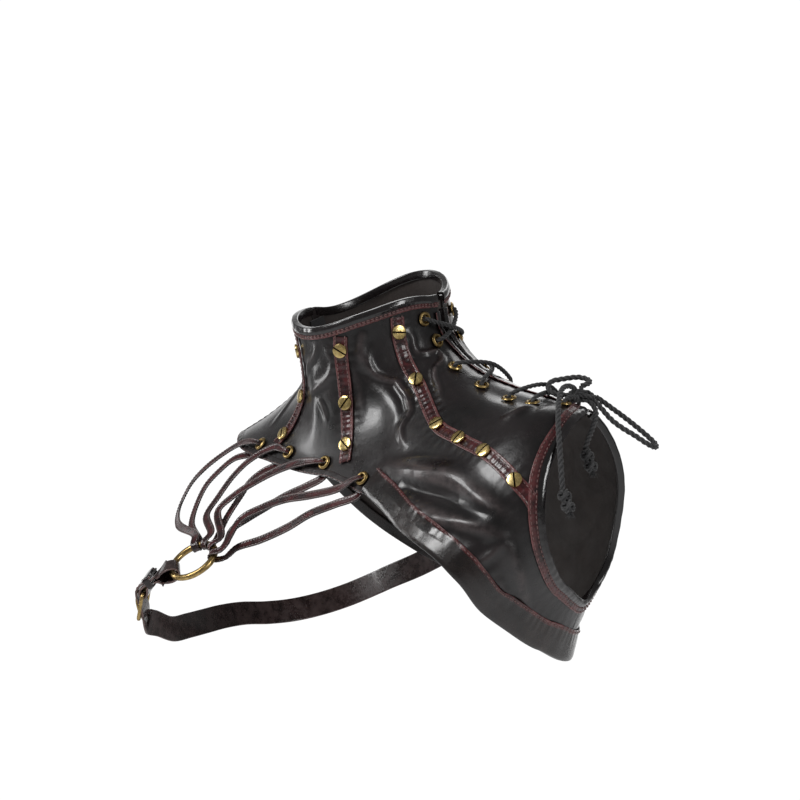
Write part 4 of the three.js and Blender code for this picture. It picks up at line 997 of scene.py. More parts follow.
def knot_axes():
    """The half axes of the bow's knot, one in each row."""
    return turned_axes(math.radians(KNOT["turn"]), 0, 1) * np.array(KNOT["size"], float)[:, None]


def add_wrap(shape, centre, axes, radius):
    """A closed turn of cord round a knot, across its first axis."""
    turn = around(24)
    wrap = np.stack([0.35 * np.sin(2 * turn), np.cos(turn), np.sin(turn)], 1)
    lengths = np.linalg.norm(axes, axis=1, keepdims=True)
    add_cord(shape, centre + wrap @ (axes * (1 - radius / lengths)), radius, closed=True)


def add_bow():
    """The bow's knot, its two loops, and its two tails with a doubled and frayed knot at the end of each."""
    shape = Shape()
    centre, axes = np.array(KNOT["centre"], float), knot_axes()
    add_knot(shape, centre, axes, STRANDS["knot"])
    for lean in (-0.5, 0.6):
        shift = axes[0] * 0.3 * np.sign(lean)
        add_wrap(shape, centre + shift, turned_axes(lean, 0, 2) @ axes, STRANDS["wrap"])
    lace = lacing_points()
    for end in np.array([BOW_SHORT[0], BOW_SHORT[-1], BOW_LONG[0], BOW_LONG[-1], TAIL_FRONT[0],
                         TAIL_BACK[0], lace[0], lace[-1]], float):
        add_cord(shape, [end, centre + 0.25 * (end - centre)], STRANDS["wrap"])
    shape.piece("bow_knot")
    add_free_cord("bow_loop_short", BOW_SHORT)
    add_free_cord("bow_loop_long", BOW_LONG)

    down = unit(np.array(TAIL_KNOT["hang"], float))
    side = unit(np.cross(down, [1, 1, 0]))
    wide, long = 0.92 * TAIL_KNOT["wide"], TAIL_KNOT["long"]
    lobe_axes = np.array([side * wide, np.cross(down, side) * wide, down * long * 0.56])
    for seed, (name, route) in enumerate({"tail_front": TAIL_FRONT, "tail_back": TAIL_BACK}.items()):
        points = np.array(route, float)
        middle = points[-1] + down * TAIL_KNOT["reach"]
        knot = Shape()
        for share, shift in ((-0.47, -0.5), (0.45, 0.6)):
            lobe = middle + down * (share * long) + side * shift
            add_knot(knot, lobe, lobe_axes, STRANDS["end_knot"])
            add_wrap(knot, lobe, lobe_axes[[2, 0, 1]], STRANDS["end_wrap"])
        add_cord(knot, [points[-1], middle - down * long * 0.3], STRANDS["knot"])
        add_fray(knot, middle + down * (long - 2.5), down - 0.35 * side, seed)
        end = knot.piece(name + "_knot")
        add_free_cord(name, points)


def lacing_points():
    """The route of the lace through its eyelets, as in the solids, with straight bars outside and inside."""
    def half(own, other):
        return [other[index] if index % 2 else place for index, place in enumerate(own)]

    first = half(LACING_FRONT, LACING_BACK)
    second = half(LACING_BACK, LACING_FRONT)
    holes = [*first[::-1], *second]
    middle = len(first) - 1
    knot = np.array(KNOT["centre"], float)

    def end(place):
        rim = on_solids(*place, LACE["over"])
        way = knot - rim
        in_knot = 1 / np.linalg.norm(unit(way) @ np.linalg.inv(knot_axes()))
        reach = np.linalg.norm(way) - in_knot - LACE_KNOT_GAP
        return [rim + unit(way) * distance for distance in (0.25 * reach, reach)]

    points = end(holes[0])[::-1]
    for index, (angle, level) in enumerate(holes):
        hole = [on_solids(angle, level, lift) for lift in (-0.2, 4.7)]
        out_first = (middle - index) % 2 == 0 if index <= middle else (index - middle) % 2 == 0
        points += hole[::-1] if out_first else hole
        if index == len(holes) - 1:
            break
        to_angle, to_level = holes[index + 1]
        outside = not out_first
        base = LACE["over"] if outside else LACE["under"]
        raised = (outside and index < middle) or (not outside and index > middle)
        stack = math.copysign(LACE["stack"], base) if raised and index != middle else 0
        span = np.linalg.norm(on_solids(angle, level, 0) - on_solids(to_angle, to_level, 0))
        turn = LACE["turn"] / span
        for share, lift in ((turn, base), (0.5, base + stack), (1 - turn, base)):
            place = angle + (to_angle - angle) * share, level + (to_level - level) * share
            points.append(on_solids(*place, lift))
    return points + end(holes[-1])


def add_lacing():
    shape = Shape()
    add_cord(shape, lacing_points(), LACE["radius"])
    shape.piece("lacing")


# The panels


def flat_map():
    """A flattened place for each [angle, level] with about the sizes of the form: two tables by level."""
    levels = np.linspace(0, 11, 111)
    angles = np.arange(-80, 280, 10.0)[:, None]
    per_angle, per_level, _ = form_frame(angles, levels[None])
    wide = np.linalg.norm(per_angle, axis=-1).mean(0)
    deep = np.linalg.norm(per_level, axis=-1).mean(0)
    down = np.concatenate([[0], np.cumsum((deep[1:] + deep[:-1]) / 2 * np.diff(levels))])
    return levels, wide, down


FLAT_LEVELS, FLAT_WIDE, FLAT_DOWN = flat_map()


def to_flat(places):
    """Flat points for places on the form."""
    angle, level = places[:, 0], places[:, 1]
    wide = np.interp(level, FLAT_LEVELS, FLAT_WIDE)
    return np.stack([angle * wide, np.interp(level, FLAT_LEVELS, FLAT_DOWN)], 1)


def from_flat(points):
    """Places on the form for flat points."""
    level = np.interp(points[:, 1], FLAT_DOWN, FLAT_LEVELS)
    return np.stack([points[:, 0] / np.interp(level, FLAT_LEVELS, FLAT_WIDE), level], 1)


def inside(points, outline):
    """Whether each flat point is inside a closed outline."""
    odd = np.zeros(len(points), bool)
    for (x0, y0), (x1, y1) in zip(outline, np.roll(outline, -1, 0)):
        if y0 == y1:
            continue
        spans = (y0 > points[:, 1]) != (y1 > points[:, 1])
        crossing = x0 + (points[:, 1] - y0) * (x1 - x0) / (y1 - y0)
        odd ^= spans & (points[:, 0] < crossing)
    return odd


def seam_lines():
    """The seams that pull puckers into the panels: a line of points, and the height and pitch of them."""
    routes = [(ARMHOLE, -EDGING["armhole"], 0.2, 9), (HEM, EDGING["hem"], 0.25, 11),
              (FRONT["collar"], -EDGING["collar"], 0.2, 8), (BACK["collar"], EDGING["collar"], 0.2, 8),
              (LACING_EDGES["front"], -EDGING["lacing"], 0.15, 10),
              (LACING_EDGES["back"], EDGING["lacing"], 0.15, 10)]
    for strip in STRIPS.values():
        routes += [(strip["route"], side * STRIP_WIDTH / 2, 0.25, 8) for side in (-1, 1)]
    lines = []
    for seed, (route, across, height, pitch) in enumerate(routes):
        points = seam_on_form(route, across, 0, 1.2, creased=False)[0]
        distance = lengths_along(points)
        lines.append((points, puckers(distance, height, pitch, seed + 20)))
    return lines


SEAM_LINES = seam_lines()


def triangle_grid(outline, step):
    """Flat points at the corners of even triangles over the box of an outline."""
    low, high = outline.min(0), outline.max(0)
    rows = []
    for number, y in enumerate(np.arange(low[1], high[1], step * 0.87)):
        x = np.arange(low[0] + (number % 2) * step / 2, high[0], step)
        rows.append(np.stack([x, np.full(len(x), y)], 1))
    return np.vstack(rows)


# The panels' mesh is finer near the creases. A seam's puckers fade with the distance from it.
FINE_SPACING = 1.15
FINE_REACH = 5.0
PUCKER_REACH = 6.0
FLAT_CREASES = to_flat(np.vstack([smooth_route(route, 1.2)[:, :2] for route, _, _ in CREASES]))


def hole_loop(angle, level):
    """The flat outline of the hole for an eyelet."""
    per_angle, _, outwards = form_frame(angle, level)
    side = unit(per_angle)
    turn = around(20)[:, None]
    ring = EYELET["hole"] * (np.cos(turn) * side + np.sin(turn) * np.cross(outwards, side))
    return to_flat(np.stack(step_along(angle, level, ring), 1))


def within(points, loops):
    """Whether each flat point is inside the first loop and outside the others."""
    keep = inside(points, loops[0])
    for loop in loops[1:]:
        keep &= ~inside(points, loop)
    return keep


def flat_sheet(loops, spacing):
    """Flat points and triangles that fill the first loop and leave the others empty."""
    coarse, fine = (triangle_grid(loops[0], step) for step in (spacing, FINE_SPACING))
    by_crease = [nearest(points, FLAT_CREASES)[0] < FINE_REACH for points in (coarse, fine)]
    filling = np.vstack([coarse[~by_crease[0]], fine[by_crease[1]]])
    filling = filling[within(filling, loops)]
    for loop in loops:
        filling = filling[nearest(filling, loop)[0] > 0.6 * FINE_SPACING]

    flat = np.vstack([*loops, filling])
    joins = []
    start = 0
    for loop in loops:
        count = len(loop)
        joins += [(start + i, start + (i + 1) % count) for i in range(count)]
        start += count
    found = delaunay_2d_cdt([Vector(p) for p in flat.tolist()], joins, [], 1, 1e-5)
    flat = np.array([tuple(p) for p in found[0]])
    triangles = np.array(found[2])
    triangles = triangles[within(flat[triangles].mean(1), loops)]
    corners = flat[triangles]
    first, second = corners[:, 1] - corners[:, 0], corners[:, 2] - corners[:, 0]
    turned = first[:, 0] * second[:, 1] - first[:, 1] * second[:, 0] > 0
    triangles[turned] = triangles[turned][:, ::-1]
    return flat, triangles


def panel(name, edges, holes, spacing):
    """A sheet of leather cut to its outline with the eyelet holes, and laid on the form."""
    outline = np.vstack([smooth_route(edge, 1.8)[:-1, :2] for edge in edges.values()])
    flat, triangles = flat_sheet([to_flat(outline), *[hole_loop(*hole) for hole in holes]], spacing)
    angle, level = from_flat(flat).T
    on = form_point(angle, level)
    outwards = form_frame(angle, level)[2]
    rise = relief(on)
    for line, waves in SEAM_LINES:
        distance, place = nearest(on, line)
        rise += at_places(waves, place) * np.exp(-((distance / PUCKER_REACH) ** 2))
    outer = on + outwards * (LEATHER + rise)[:, None]
    inner = on + outwards * rise[:, None]
    wear_and_groove_shade = np.clip(crease_lift(on) / 2.2, 0, 1)

    directed = triangles[:, [[0, 1], [1, 2], [2, 0]]].reshape(-1, 2)
    sides = np.sort(directed, axis=1)
    _, index, counts = np.unique(sides, axis=0, return_index=True, return_counts=True)
    rim = directed[index[counts == 1]]
    rims = np.unique(rim)
    place_in = {vertex: number for number, vertex in enumerate(rims)}
    count = len(rims)
    walls = [[place_in[b], place_in[a], place_in[a] + count, place_in[b] + count] for a, b in rim]
    shape = Shape()
    shape.add(outer, triangles, "leather", wear_and_groove_shade)
    shape.add(inner, triangles[:, ::-1], "lining")
    shape.add(np.vstack([outer[rims], inner[rims]]), walls, "roll")
    shape.piece(name)


def add_panels():
    panel("front_panel", FRONT, [*LACING_FRONT, *THONG_EYELETS], 2.3)
    panel("back_panel", BACK, LACING_BACK, 2.6)


def add_bindings():
    binding("collar_binding_front", FRONT["collar"], EDGING["collar"], -1, 31)
    binding("collar_binding_back", BACK["collar"], EDGING["collar"], 1, 32)
    binding("lacing_binding_front", LACING_EDGES["front"], EDGING["lacing"], -1, 33, fold=4.0)
    binding("lacing_binding_back", LACING_EDGES["back"], EDGING["lacing"], 1, 34, fold=4.0)
    binding("armhole_binding", ARMHOLE, EDGING["armhole"], -1, 35)


def add_hem():
    """The wide band folded over the lower edge, stitched along its top, with a thin oxblood line there."""
    width, under, top = EDGING["hem"], -SEAT - TRIM, TOP + TRIM
    corners = [[under, under], [8, under], [8, -SEAT], [0.4, -SEAT], [-0.4, TOP], [width, TOP], [width, top],
               [width - 2.6, top - 0.25], [width * 0.5, top + 0.45], [1.2, top + 0.2], [under, top - 0.8]]
    section = rounded(corners, 1.1)
    on_top = np.clip((section[:, 1] - TOP) / TRIM, 0, 1)
    by_seam = np.exp(-(((section[:, 0] - width) / 7) ** 2))
    middles = (section + np.roll(section, -1, 0)) / 2
    paints = ["oxblood" if x > width - 3.2 and y > 0 else "hem" for x, y in middles]
    rings = along_form(HEM, 1.4, puckered(section, 1, (1, 0.42, 9, 41, on_top * by_seam),
                                          (1, 0.18, 23, 43, on_top)))
    wear_and_groove_shade = on_top * (0.12 + 0.6 * np.exp(-(((section[:, 0] - width + 0.6) / 1.3) ** 2)))
    patches = np.clip(smooth_noise(rings, 34, 8) * 1.6, 0, 1)
    shape = Shape()
    add_loft(shape, rings, paints, np.clip(wear_and_groove_shade * (0.3 + patches), 0, 1))
    add_stitches(shape, *seam_on_form(HEM, width - 1.7, top + 0.05, STITCH_SPACING))
    shape.piece("hem_band")


def add_strips():
    """The strips under the studs, with a raised and stitched edge on both sides."""
    half, top = STRIP_WIDTH / 2, TOP + TRIM
    corners = [[-half, TOP], [half, TOP], [half, top + 0.15], [half - 1.3, top + 0.15],
               [half - 2.2, top - 0.35], [0, top - 0.05], [2.2 - half, top - 0.35],
               [1.3 - half, top + 0.15], [-half, top + 0.15]]
    section = rounded(corners, 0.5)
    on_top = section[:, 1] > TOP + 0.2
    between = np.clip(1 - np.abs(section[:, 0]) / half, 0, 1) * on_top
    edges = np.exp(-(((np.abs(section[:, 0]) - half + 0.6) / 0.7) ** 2)) * on_top
    for seed, (name, strip) in enumerate(STRIPS.items()):
        waves = ((1, 0.42, 5.5, seed + 51, between), (1, 0.14, 3.6, seed + 61, edges))
        rings = along_form(strip["route"], 1.1, puckered(section, 1, *waves))
        shape = Shape()
        add_loft(shape, rings, "oxblood", np.broadcast_to(0.9 * edges, rings.shape[:2]))
        for across in (half - 1.7, 1.7 - half):
            add_stitches(shape, *seam_on_form(strip["route"], across, top, 3.1))
        shape.piece("strip_" + name)


def lathe(profile, count=48):
    """Rings of points round +Z for a closed [radius, height] profile."""
    turn = around(count)[:, None]
    radius, height = np.asarray(profile, float).T
    return np.stack(np.broadcast_arrays(radius * np.cos(turn), radius * np.sin(turn), height), -1)


def seat_frame(angle, level):
    """The directions of a piece that sits on the leather: to the left, up and outwards."""
    per_angle, per_level, _ = form_frame(angle, level)
    across, down = TILT_REACH / np.linalg.norm(per_angle), TILT_REACH / np.linalg.norm(per_level)
    angles = np.array([angle + across, angle - across, angle, angle])
    levels = np.array([level, level, level + down, level - down])
    left, right, low, high = on_solids(angles, levels, 0)
    outwards = unit(np.cross(low - high, left - right))
    side = left - right
    side = unit(side - outwards * (side @ outwards))
    return np.array([side, np.cross(outwards, side), outwards])


def stud_points():
    """The vertices, faces and paints of a slightly domed head round +Z, with a slot cut along Y."""
    radius, height, count = STUD["radius"], STUD["height"], 56
    profile = [[radius - 0.2, 0], [radius, 0.25], [radius, height - 0.65], [radius - 0.22, height - 0.25],
               [radius - 0.75, height - 0.05], [radius * 0.6, height + 0.12], [radius * 0.3, height + 0.18]]
    rings = np.swapaxes(lathe(profile, count), 0, 1)
    under, over = rings[0].mean(0), rings[-1].mean(0) + [0, 0, 0.02]
    vertices = np.vstack([rings.reshape(-1, 3), under, over])
    last = len(vertices) - 2
    faces = grid_faces(len(profile), count).tolist()
    for i in range(count):
        beside = (i + 1) % count
        faces.append([beside, i, last])
        faces.append([last - count + i, last - count + beside, last + 1])
    solid = bpy.data.meshes.new("stud_head")
    solid.from_pydata(vertices.tolist(), [], faces)
    cutter = bpy.data.meshes.new("stud_slot")
    x, y, floor = STUD["slot"] / 2, radius * 1.5, height - STUD["slot_depth"]
    corners = [(i * x, j * y, z) for i in (-1, 1) for j in (-1, 1) for z in (floor, height + 1)]
    sides = [(0, 1, 3, 2), (4, 6, 7, 5), (0, 4, 5, 1), (2, 3, 7, 6), (0, 2, 6, 4), (1, 5, 7, 3)]
    cutter.from_pydata(corners, [], sides)
    made = [bpy.data.objects.new(mesh.name, mesh) for mesh in (solid, cutter)]
    for thing in made:
        bpy.context.collection.objects.link(thing)
    cut = made[0].modifiers.new("slot", "BOOLEAN")
    cut.object = made[1]
    result = made[0].evaluated_get(bpy.context.evaluated_depsgraph_get()).to_mesh()
    vertices = np.array([tuple(vertex.co) for vertex in result.vertices])
    faces = [list(face.vertices) for face in result.polygons]
    paints = []
    for face in faces:
        corners = vertices[face]
        within = np.abs(corners[:, 0]).max() < x + 0.01 and corners[:, 2].min() > floor - 0.01
        paints.append("slot" if within else "pale_brass")
    for thing in made:
        bpy.data.objects.remove(thing)
    return vertices, faces, paints


def add_studs():
    vertices, faces, paints = stud_points()
    top = TOP + TRIM + 0.4
    for strip, sizes in STRIPS.items():
        for number, (angle, level, slot) in enumerate(sizes["studs"], 1):
            axes = seat_frame(angle, level)
            turn = turned_axes(math.radians(slot - 90), 0, 1)
            placed = lay(angle, level, top) + vertices @ turn @ axes
            shape = Shape()
            shape.vertices.append(placed)
            shape.faces += faces
            shape.paints += paints
            shape.wear_and_groove_shade.append(np.zeros(len(placed)))
            name = f"stud_{strip}_{number}"
            shape.piece(name, sharp=35)


def add_eyelets():
    outer, inner, height = EYELET["outer"], EYELET["inner"], EYELET["height"]
    barrel = inner - 0.45
    profile = [[outer, 0], [outer + 0.05, 0.3], [outer - 0.25, 0.75], [outer - 1.0, height + 0.15],
               [(outer + inner) / 2, height + 0.32], [inner + 0.2, height + 0.1],
               [barrel + 0.35, height - 0.35], [barrel, height - 1.1], [barrel, -4.2], [barrel + 0.4, -4.7],
               [barrel + 1.6, -4.75], [barrel + 1.9, -4.4], [inner, -4.2], [inner, -0.1], [inner + 0.4, 0]]
    rings = lathe(profile, 44)
    places = {"front": LACING_FRONT, "back": LACING_BACK, "thong": THONG_EYELETS}
    for kind, row in places.items():
        for number, (angle, level) in enumerate(row, 1):
            middle = lay(angle, level, LEATHER + EYELET["seat"])
            shape = Shape()
            add_loft(shape, middle + rings @ seat_frame(angle, level), "brass", closed=True)
            name = f"eyelet_{kind}_{number}"
            shape.piece(name)


# The ring, the thongs and the straps


def band_rings(stations, spacing, section, closed=False):
    """Rings of a flat band through stations, each a point, the direction outwards there and the width.

    The section has [across, height] points: across from -1 to 1, and the height in millimetres.
    """
    points, faces_out, widths = (np.array(column, float) for column in zip(*stations))
    if closed:
        faces_out, widths = np.vstack([faces_out, faces_out[:1]]), np.append(widths, widths[0])
    per_span = 24
    dense = catmull_rom(points, per_span, closed)
    if closed:
        dense = np.vstack([dense, dense[:1]])
    share = np.arange(len(dense)) / per_span
    stations_at = np.arange(len(faces_out))
    rows = evenly(np.column_stack([dense, share]), lengths_along(dense), spacing)
    centre, share = rows[:, :3], rows[:, 3]
    outwards = np.stack([np.interp(share, stations_at, column) for column in faces_out.T], 1)
    half = np.interp(share, stations_at, widths) / 2
    ahead = unit(np.gradient(centre, axis=0))
    if closed:
        ahead[0] = ahead[-1] = unit(centre[1] - centre[-2])
    face = None
    faces = []
    steps = np.linalg.norm(np.diff(centre, axis=0, prepend=centre[:1]), axis=1)
    for way, out, step in zip(ahead, outwards, steps):
        out = out - way * (out @ way)
        if face is None:
            face = unit(out)
        face = unit(face - way * (face @ way))
        pull = min(1.0, step / 4) * 3
        face = unit(face + out * (pull if out @ face >= 0 else -pull))
        faces.append(face)
    faces = np.array(faces)
    across = np.cross(ahead, faces)
    along = lengths_along(centre)
    profile = section(along) if callable(section) else np.repeat(section[None], len(centre), 0)
    rings = centre[:, None] + across[:, None] * (profile[..., :1] * half[:, None, None])
    rings = rings + faces[:, None] * profile[..., 1:]
    frames = (centre, ahead, faces, across, half, along)
    if closed:
        rings = rings[:-1]
        frames = tuple(values[:-1] for values in frames)
    return rings, frames


def ring_frame():
    """The ring's middle, and its directions to the left, up and outwards."""
    return on_solids(RING["angle"], RING["level"], RING["lift"]), *seat_frame(RING["angle"], RING["level"])


def add_ring():
    centre, side, up, outwards = ring_frame()
    turn, across = around(96)[:, None], around(20)[None]
    wire = RING["wire"] * (1 + 0.03 * np.sin(3 * turn + 1) + 0.02 * np.sin(7 * turn))
    reach = RING["radius"] + wire * np.cos(across)
    local = np.broadcast_arrays(reach * np.cos(turn), reach * np.sin(turn), wire * np.sin(across))
    shape = Shape()
    add_loft(shape, centre + np.stack(local, -1) @ np.array([side, up, outwards]), "brass", closed=True)
    shape.piece("ring")


def on_form(place, width):
    """A station of a band at a place on the solids' form."""
    angle, level, _ = place
    return on_solids(*place), form_frame(angle, level)[2], width


def round_wire(on_ring, thickness, width, slack, comes_from):
    """The stations of a band that comes in over the ring's wire, turns round it and leaves below it."""
    centre, side, up, outwards = ring_frame()
    turn = RING["wire"] + slack + thickness / 2
    radial = side * math.cos(on_ring) + up * math.sin(on_ring)
    wire = centre + radial * RING["radius"]

    def station(away, height):
        return wire + radial * away + outwards * height, outwards, width

    bend = [station(turn * math.cos(t), turn * math.sin(t)) for t in np.radians([90, 135, 180, 225, 270])]
    return [station(comes_from, turn), *bend, station(comes_from, -turn)]


def thong_section(along):
    """The same on both faces: a flat middle between two raised, corded edges that show as small beads."""
    across = np.array([-1, -0.92, -0.74, -0.56, -0.46, -0.2, 0.2, 0.46, 0.56, 0.74, 0.92])
    height = np.array([0, 0.62, 1.0, 0.62, 0.42, 0.5, 0.5, 0.42, 0.62, 1.0, 0.62]) * THONG["thickness"] / 2
    beads = np.array([0, 0.6, 1, 0.6, 0, 0, 0, 0, 0.6, 1, 0.6])
    wave = 0.2 * np.sin(2 * np.pi * along / 2.6)[:, None]
    face = np.stack(np.broadcast_arrays(across, height + beads * wave), -1)
    return np.concatenate([face, -face], 1)


THONG_PAINTS = ["strap", "ridge", "ridge", "strap", "oxblood", "oxblood", "oxblood", "strap",
                "ridge", "ridge", "strap"] * 2


def add_thongs():
    width, neck, thickness = THONG["width"], THONG["neck"], THONG["thickness"]
    for number, thong in enumerate(THONGS):
        angle, level = THONG_EYELETS[number]

        def beside(place, lift, angle=angle, level=level):
            way = form_point(place[0], place[1]) - form_point(angle, level)
            to_angle, to_level = step_along(angle, level, unit(way) * 3.8)
            return on_form([to_angle, to_level, lift], neck)

        stations = [
            on_form([angle, level, 0.2], neck),
            on_form([angle, level, 4.4], neck),
            beside(thong["near"][0], 6.2),
            *[on_form(place, width) for place in thong["near"]],
            *round_wire(math.radians(thong["on_ring"]), thickness, width - 1, SEAT, 8),
            *[on_form(place, width) for place in thong["far"]],
            beside(thong["far"][-1], -2.4),
        ]
        rings, _ = band_rings(stations, 0.6, thong_section, closed=True)
        shape = Shape()
        add_loft(shape, rings, THONG_PAINTS, closed=True)
        shape.piece(f"thong_{number + 1}")


STRAP_PLACES = smooth_route(STRAP_ROUTE, 1.5)
STRAP_ALONG = lengths_along(form_point(STRAP_PLACES[:, 0], STRAP_PLACES[:, 1]))


def on_strap(distance):
    """The angle and level of the strap's route at a distance from the ring's middle."""
    return [float(np.interp(distance, STRAP_ALONG, STRAP_PLACES[:, column])) for column in (0, 1)]


def buckle_frame():
    """The buckle's middle, and its directions ahead, to the side and outwards."""
    place = on_strap(BUCKLE["at"])
    origin = form_point(*place)
    outwards = form_frame(*place)[2]
    ahead = origin - ring_frame()[0]
    ahead = unit(ahead - outwards * (ahead @ outwards))
    return origin, ahead, np.cross(outwards, ahead), outwards


def near_buckle(place):
    """A station of a strap at a place along the line from the ring to the buckle."""
    origin, ahead, _, outwards = buckle_frame()
    return origin + ahead * place[0] + outwards * place[1], outwards, STRAP["width"]


STRAP_SECTION = rounded([[-1, -0.8], [1, -0.8], [1, 0.62], [0.93, 0.8], [0.84, 0.62], [0.78, 0.74], [0, 0.84],
                         [-0.78, 0.74], [-0.84, 0.62], [-0.93, 0.8], [-1, 0.62]], 0.1, 2)


def add_strap(name, stations):
    """A flat strap with a pale cut edge and a row of stitches on both sides."""
    rings, (centre, ahead, faces, across, half, along) = band_rings(stations, 1.2, STRAP_SECTION)
    edges = np.clip((np.abs(STRAP_SECTION[:, 0]) - 0.8) / 0.15, 0, 1)
    shape = Shape()
    paints = ["ridge" if abs(x) > 0.9 and y > 0.3 else "strap" for x, y in STRAP_SECTION]
    add_loft(shape, rings, paints, np.broadcast_to(0.7 * edges, rings.shape[:2]))
    places = np.arange(2, along[-1] - 2, STITCH_SPACING)
    rows = np.column_stack([centre, ahead, faces, across, half])
    rows = np.stack([np.interp(places, along, column) for column in rows.T], 1)
    for side in (-1, 1):
        points = rows[:, :3] + rows[:, 9:12] * rows[:, 12:] * (0.82 * side) + rows[:, 6:9] * 0.72
        add_stitches(shape, points, unit(rows[:, 3:6]), unit(rows[:, 6:9]), length=2.2, radius=0.34)
    shape.piece(name)


def add_straps():
    centre, side, up, _ = ring_frame()
    way = buckle_frame()[0] - centre
    on_ring = math.atan2(way @ up, way @ side)
    add_strap("ring_strap", [
        *[near_buckle(place) for place in RING_STRAP_BUCKLE_END],
        *round_wire(on_ring, STRAP["thickness"], STRAP["at_ring"], 2.3, 3),
        *[near_buckle(place) for place in RING_STRAP_END],
    ])
    total = STRAP_ALONG[-1]
    end = CHEST_STRAP_END
    climb_from = total - end["overlap"] - end["climb"]
    lying = [[distance, end["lying_lift"]]
             for distance in np.arange(end["from"], climb_from - end["spacing"] / 2, end["spacing"])]
    landing = [[climb_from, end["lying_lift"]], [climb_from + end["climb"], end["on_hem_lift"]],
               [total, end["on_hem_lift"]]]
    add_strap("chest_strap", [
        *[near_buckle(place) for place in [*CHEST_STRAP_TAIL, *CHEST_STRAP_BUCKLE]],
        *[on_form([*on_strap(distance), lift], STRAP["width"]) for distance, lift in [*lying, *landing]],
    ])


def rectangle_path(length, width, corner, spacing=0.8):
    """Points round a rectangle with round corners, in a plane."""
    x, y = length / 2 - corner, width / 2 - corner
    points = []
    for (cx, cy), start in (((x, y), 0), ((-x, y), 90), ((-x, -y), 180), ((x, -y), 270)):
        for degrees in np.linspace(start, start + 90, 9):
            t = math.radians(degrees)
            points.append([cx + corner * math.cos(t), cy + corner * math.sin(t), 0])
    closed = np.array([*points, points[0]])
    return evenly(closed, lengths_along(closed), spacing)[:-1]


def ring_round(path, wide, high, power=2.6, count=16):
    """Rings of a rounded section round a closed flat path: wide in its plane and high across it."""
    ahead = unit(np.roll(path, -1, 0) - np.roll(path, 1, 0))
    inward = np.cross([0, 0, 1.0], ahead)
    turn = around(count)
    x = np.sign(np.cos(turn)) * np.abs(np.cos(turn)) ** (2 / power) * wide / 2
    z = np.sign(np.sin(turn)) * np.abs(np.sin(turn)) ** (2 / power) * high / 2
    return path[:, None] + inward[:, None] * x[None, :, None] + np.array([0, 0, 1.0]) * z[None, :, None]


def add_buckle():
    """The buckle's frame with its prong, and the loop that keeps the strap's end."""
    origin, ahead, side, outwards = buckle_frame()
    axes = np.array([ahead, side, outwards])
    middle = origin + outwards * BUCKLE["lift"]
    bar = BUCKLE["bar"]
    path = rectangle_path(BUCKLE["length"] - bar, BUCKLE["width"] - bar, 3.2)
    shape = Shape()
    add_loft(shape, middle + ring_round(path, bar, BUCKLE["thickness"]) @ axes, "brass", closed=True)
    half = BUCKLE["length"] / 2 - bar / 2
    prong = [[-half - 1.9, 0, 0.2], [-half - 0.9, 0, 1.9], [-half + 1.2, 0, 2.1], [-half + 3, 0, 3.1],
             [-4, 0, 5.6], [0, 0, 5.8], [5, 0, 4.2], [half - 1.5, 0, 2.6], [half + 1.3, 0, 2.3]]
    line = catmull_rom(prong, 12)
    line = evenly(line, lengths_along(line), 0.7)
    _, across, up = travelling_frames(line)
    share = np.linspace(0, 1, len(line))
    thick = np.interp(share, [0, 0.15, 0.85, 1], [1.25, 1.3, 1.1, 0.6])[:, None, None]
    add_loft(shape, middle + tube(line, across, up, thick, around(12)) @ axes, "brass")
    shape.piece("buckle")

    lean = turned_axes(KEEPER["tilt"], 0, 2)
    wall = KEEPER["wall"]
    path = rectangle_path(KEEPER["high"] - wall, KEEPER["wide"] - wall, 1.6, 0.6)
    loop = ring_round(path, wall, KEEPER["long"], power=5)
    turned = np.stack([loop[..., 2], loop[..., 1], -loop[..., 0]], -1)
    shape = Shape()
    place = near_buckle(KEEPER["at"])[0]
    add_loft(shape, place + turned @ lean @ axes, "strap", closed=True)
    shape.piece("strap_keeper")


def add_zip():
    """A closed zip: woven tape, interlocked teeth, and its slider at the top."""
    middle = (ZIP_FRONT + ZIP_BACK - 360) / 2
    route = [[middle, ZIP["from"]], [middle, 2.4], [middle, ZIP["to"]]]
    shape = Shape()
    wide, low, top = ZIP["tape"], ZIP["bottom"] + 0.3, ZIP["tape_top"]
    tape = rounded([[-wide, low], [wide, low], [wide, top], [1.6, top], [1.2, top + 0.5], [-1.2, top + 0.5],
                    [-1.6, top], [-wide, top]], 0.3, 2)
    add_loft(shape, along_form(route, 1.5, puckered(tape, 1)), "tape")
    points, ahead, outwards = seam_on_form(route, 0, top + 1.2, 1.35)
    side = unit(np.cross(outwards, ahead))
    ball = rounded([[-1, -1], [1, -1], [1, 1], [-1, 1]], 0.5, 3)
    for hand in (-1, 1):
        chosen = slice(0 if hand > 0 else 1, None, 2)
        base, along, to_side, up = points[chosen], ahead[chosen], side[chosen] * hand, unit(outwards[chosen])
        rings = []
        for reach, size in ((-0.5, 0.7), (-0.35, 1.0), (1.9, 1.0), (2.3, 0.6)):
            centre = base + to_side * (reach + 0.15)
            ring = centre[:, None] + size * (
                along[:, None] * ball[None, :, :1] * 0.52 + up[:, None] * ball[None, :, 1:] * 0.85)
            rings.append(ring)
        first = shape.count
        add_copies(shape, np.stack(rings, 1), "brass")
        count = len(ball)
        for start in range(first, shape.count, 4 * count):
            shape.faces.append([start + i for i in range(count)])
            shape.faces.append([start + 3 * count + i for i in reversed(range(count))])
            shape.paints += ["brass"] * 2
    add_slider(shape, points[4], ahead[4], outwards[4])
    shape.piece("zip", sharp=50)


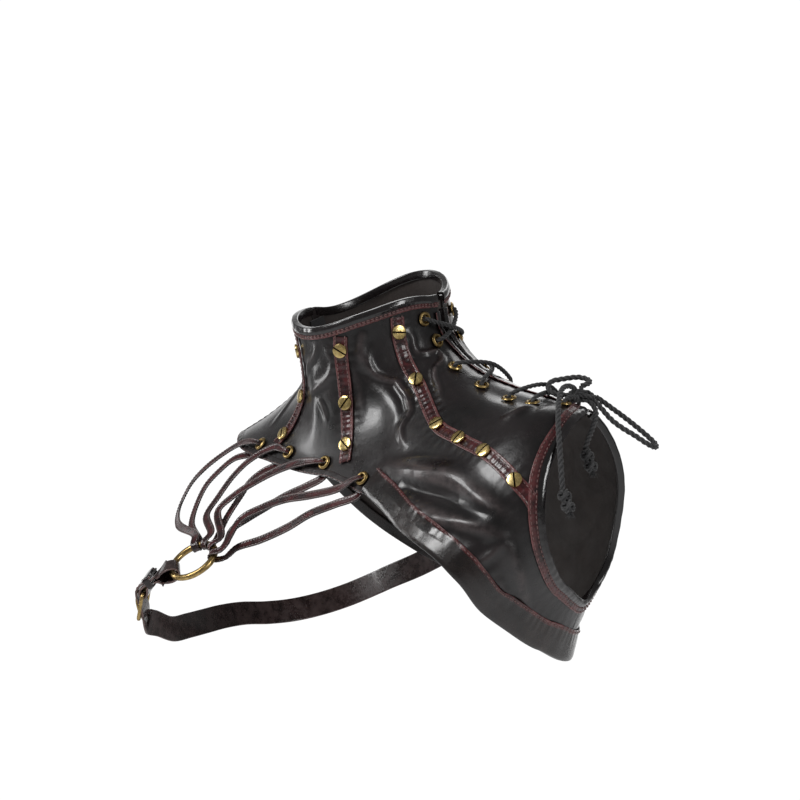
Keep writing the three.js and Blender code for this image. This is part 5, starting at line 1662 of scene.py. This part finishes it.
def add_slider(shape, point, ahead, outwards):
    """The slider's body, its bridge and its tab."""
    axes = np.array([ahead, unit(np.cross(outwards, ahead)), outwards])
    middle = point + outwards * 1.4
    body = rounded([[-4.5, -3.2], [4, -2.4], [4, 2.4], [-4.5, 3.2]], 1.6, 4)
    rings = []
    for height, size in ((-0.7, 0.86), (-0.5, 1.0), (0.3, 1.0), (0.7, 0.84), (0.72, 0.02)):
        rings.append(np.column_stack([body * size, np.full(len(body), height)]))
    add_loft(shape, middle + np.array(rings) @ axes, "brass")
    tab_middle = middle + outwards * 1.5 + ahead * 9
    tab = rectangle_path(13, 5.4, 2.0, 0.6)
    add_loft(shape, tab_middle + ring_round(tab, 1.3, 1.1) @ axes, "brass", closed=True)
    bridge = rectangle_path(5, 2.4, 1.0, 0.5)
    arch = ring_round(bridge, 0.8, 1.4)
    arch = np.stack([arch[..., 0], arch[..., 2], arch[..., 1]], -1)
    add_loft(shape, middle + outwards * 1.2 + arch @ axes, "brass", closed=True)


def add_turned_edges():
    """The narrow turned edges of the yoke and of both sides of the zip."""
    top = LEATHER + 0.75
    section = rounded([[-1.3, -1.0], [3.2, -1.0], [3.2, -0.3], [0.1, -0.3], [0.1, LEATHER + 0.25],
                       [4.2, LEATHER + 0.2], [4.2, top], [-1.3, top]], 0.7)
    on_top = np.clip(section[:, 1] / LEATHER, 0, 1)
    edges = {"yoke_edge": (FRONT["yoke"], 1, 71), "zip_edge_front": (FRONT["zip"][::-1], -1, 72),
             "zip_edge_back": (BACK["zip"][::-1], 1, 73)}
    for name, (route, hand, seed) in edges.items():
        shape = Shape()
        profile = puckered(section, hand, (1, 0.22, 7, seed, on_top))
        add_loft(shape, along_form(route, 1.4, profile), "leather", 0.2)
        seam = seam_on_form(route, 3.1 * hand, LEATHER + 0.72, STITCH_SPACING)
        add_stitches(shape, *seam, radius=0.3)
        shape.piece(name, replaces=False)


def main():
    add_camera()
    add_studio()
    add_bow()
    add_lacing()
    add_panels()
    add_bindings()
    add_hem()
    add_strips()
    add_studs()
    add_eyelets()
    add_ring()
    add_thongs()
    add_straps()
    add_buckle()
    add_zip()
    add_turned_edges()


main()
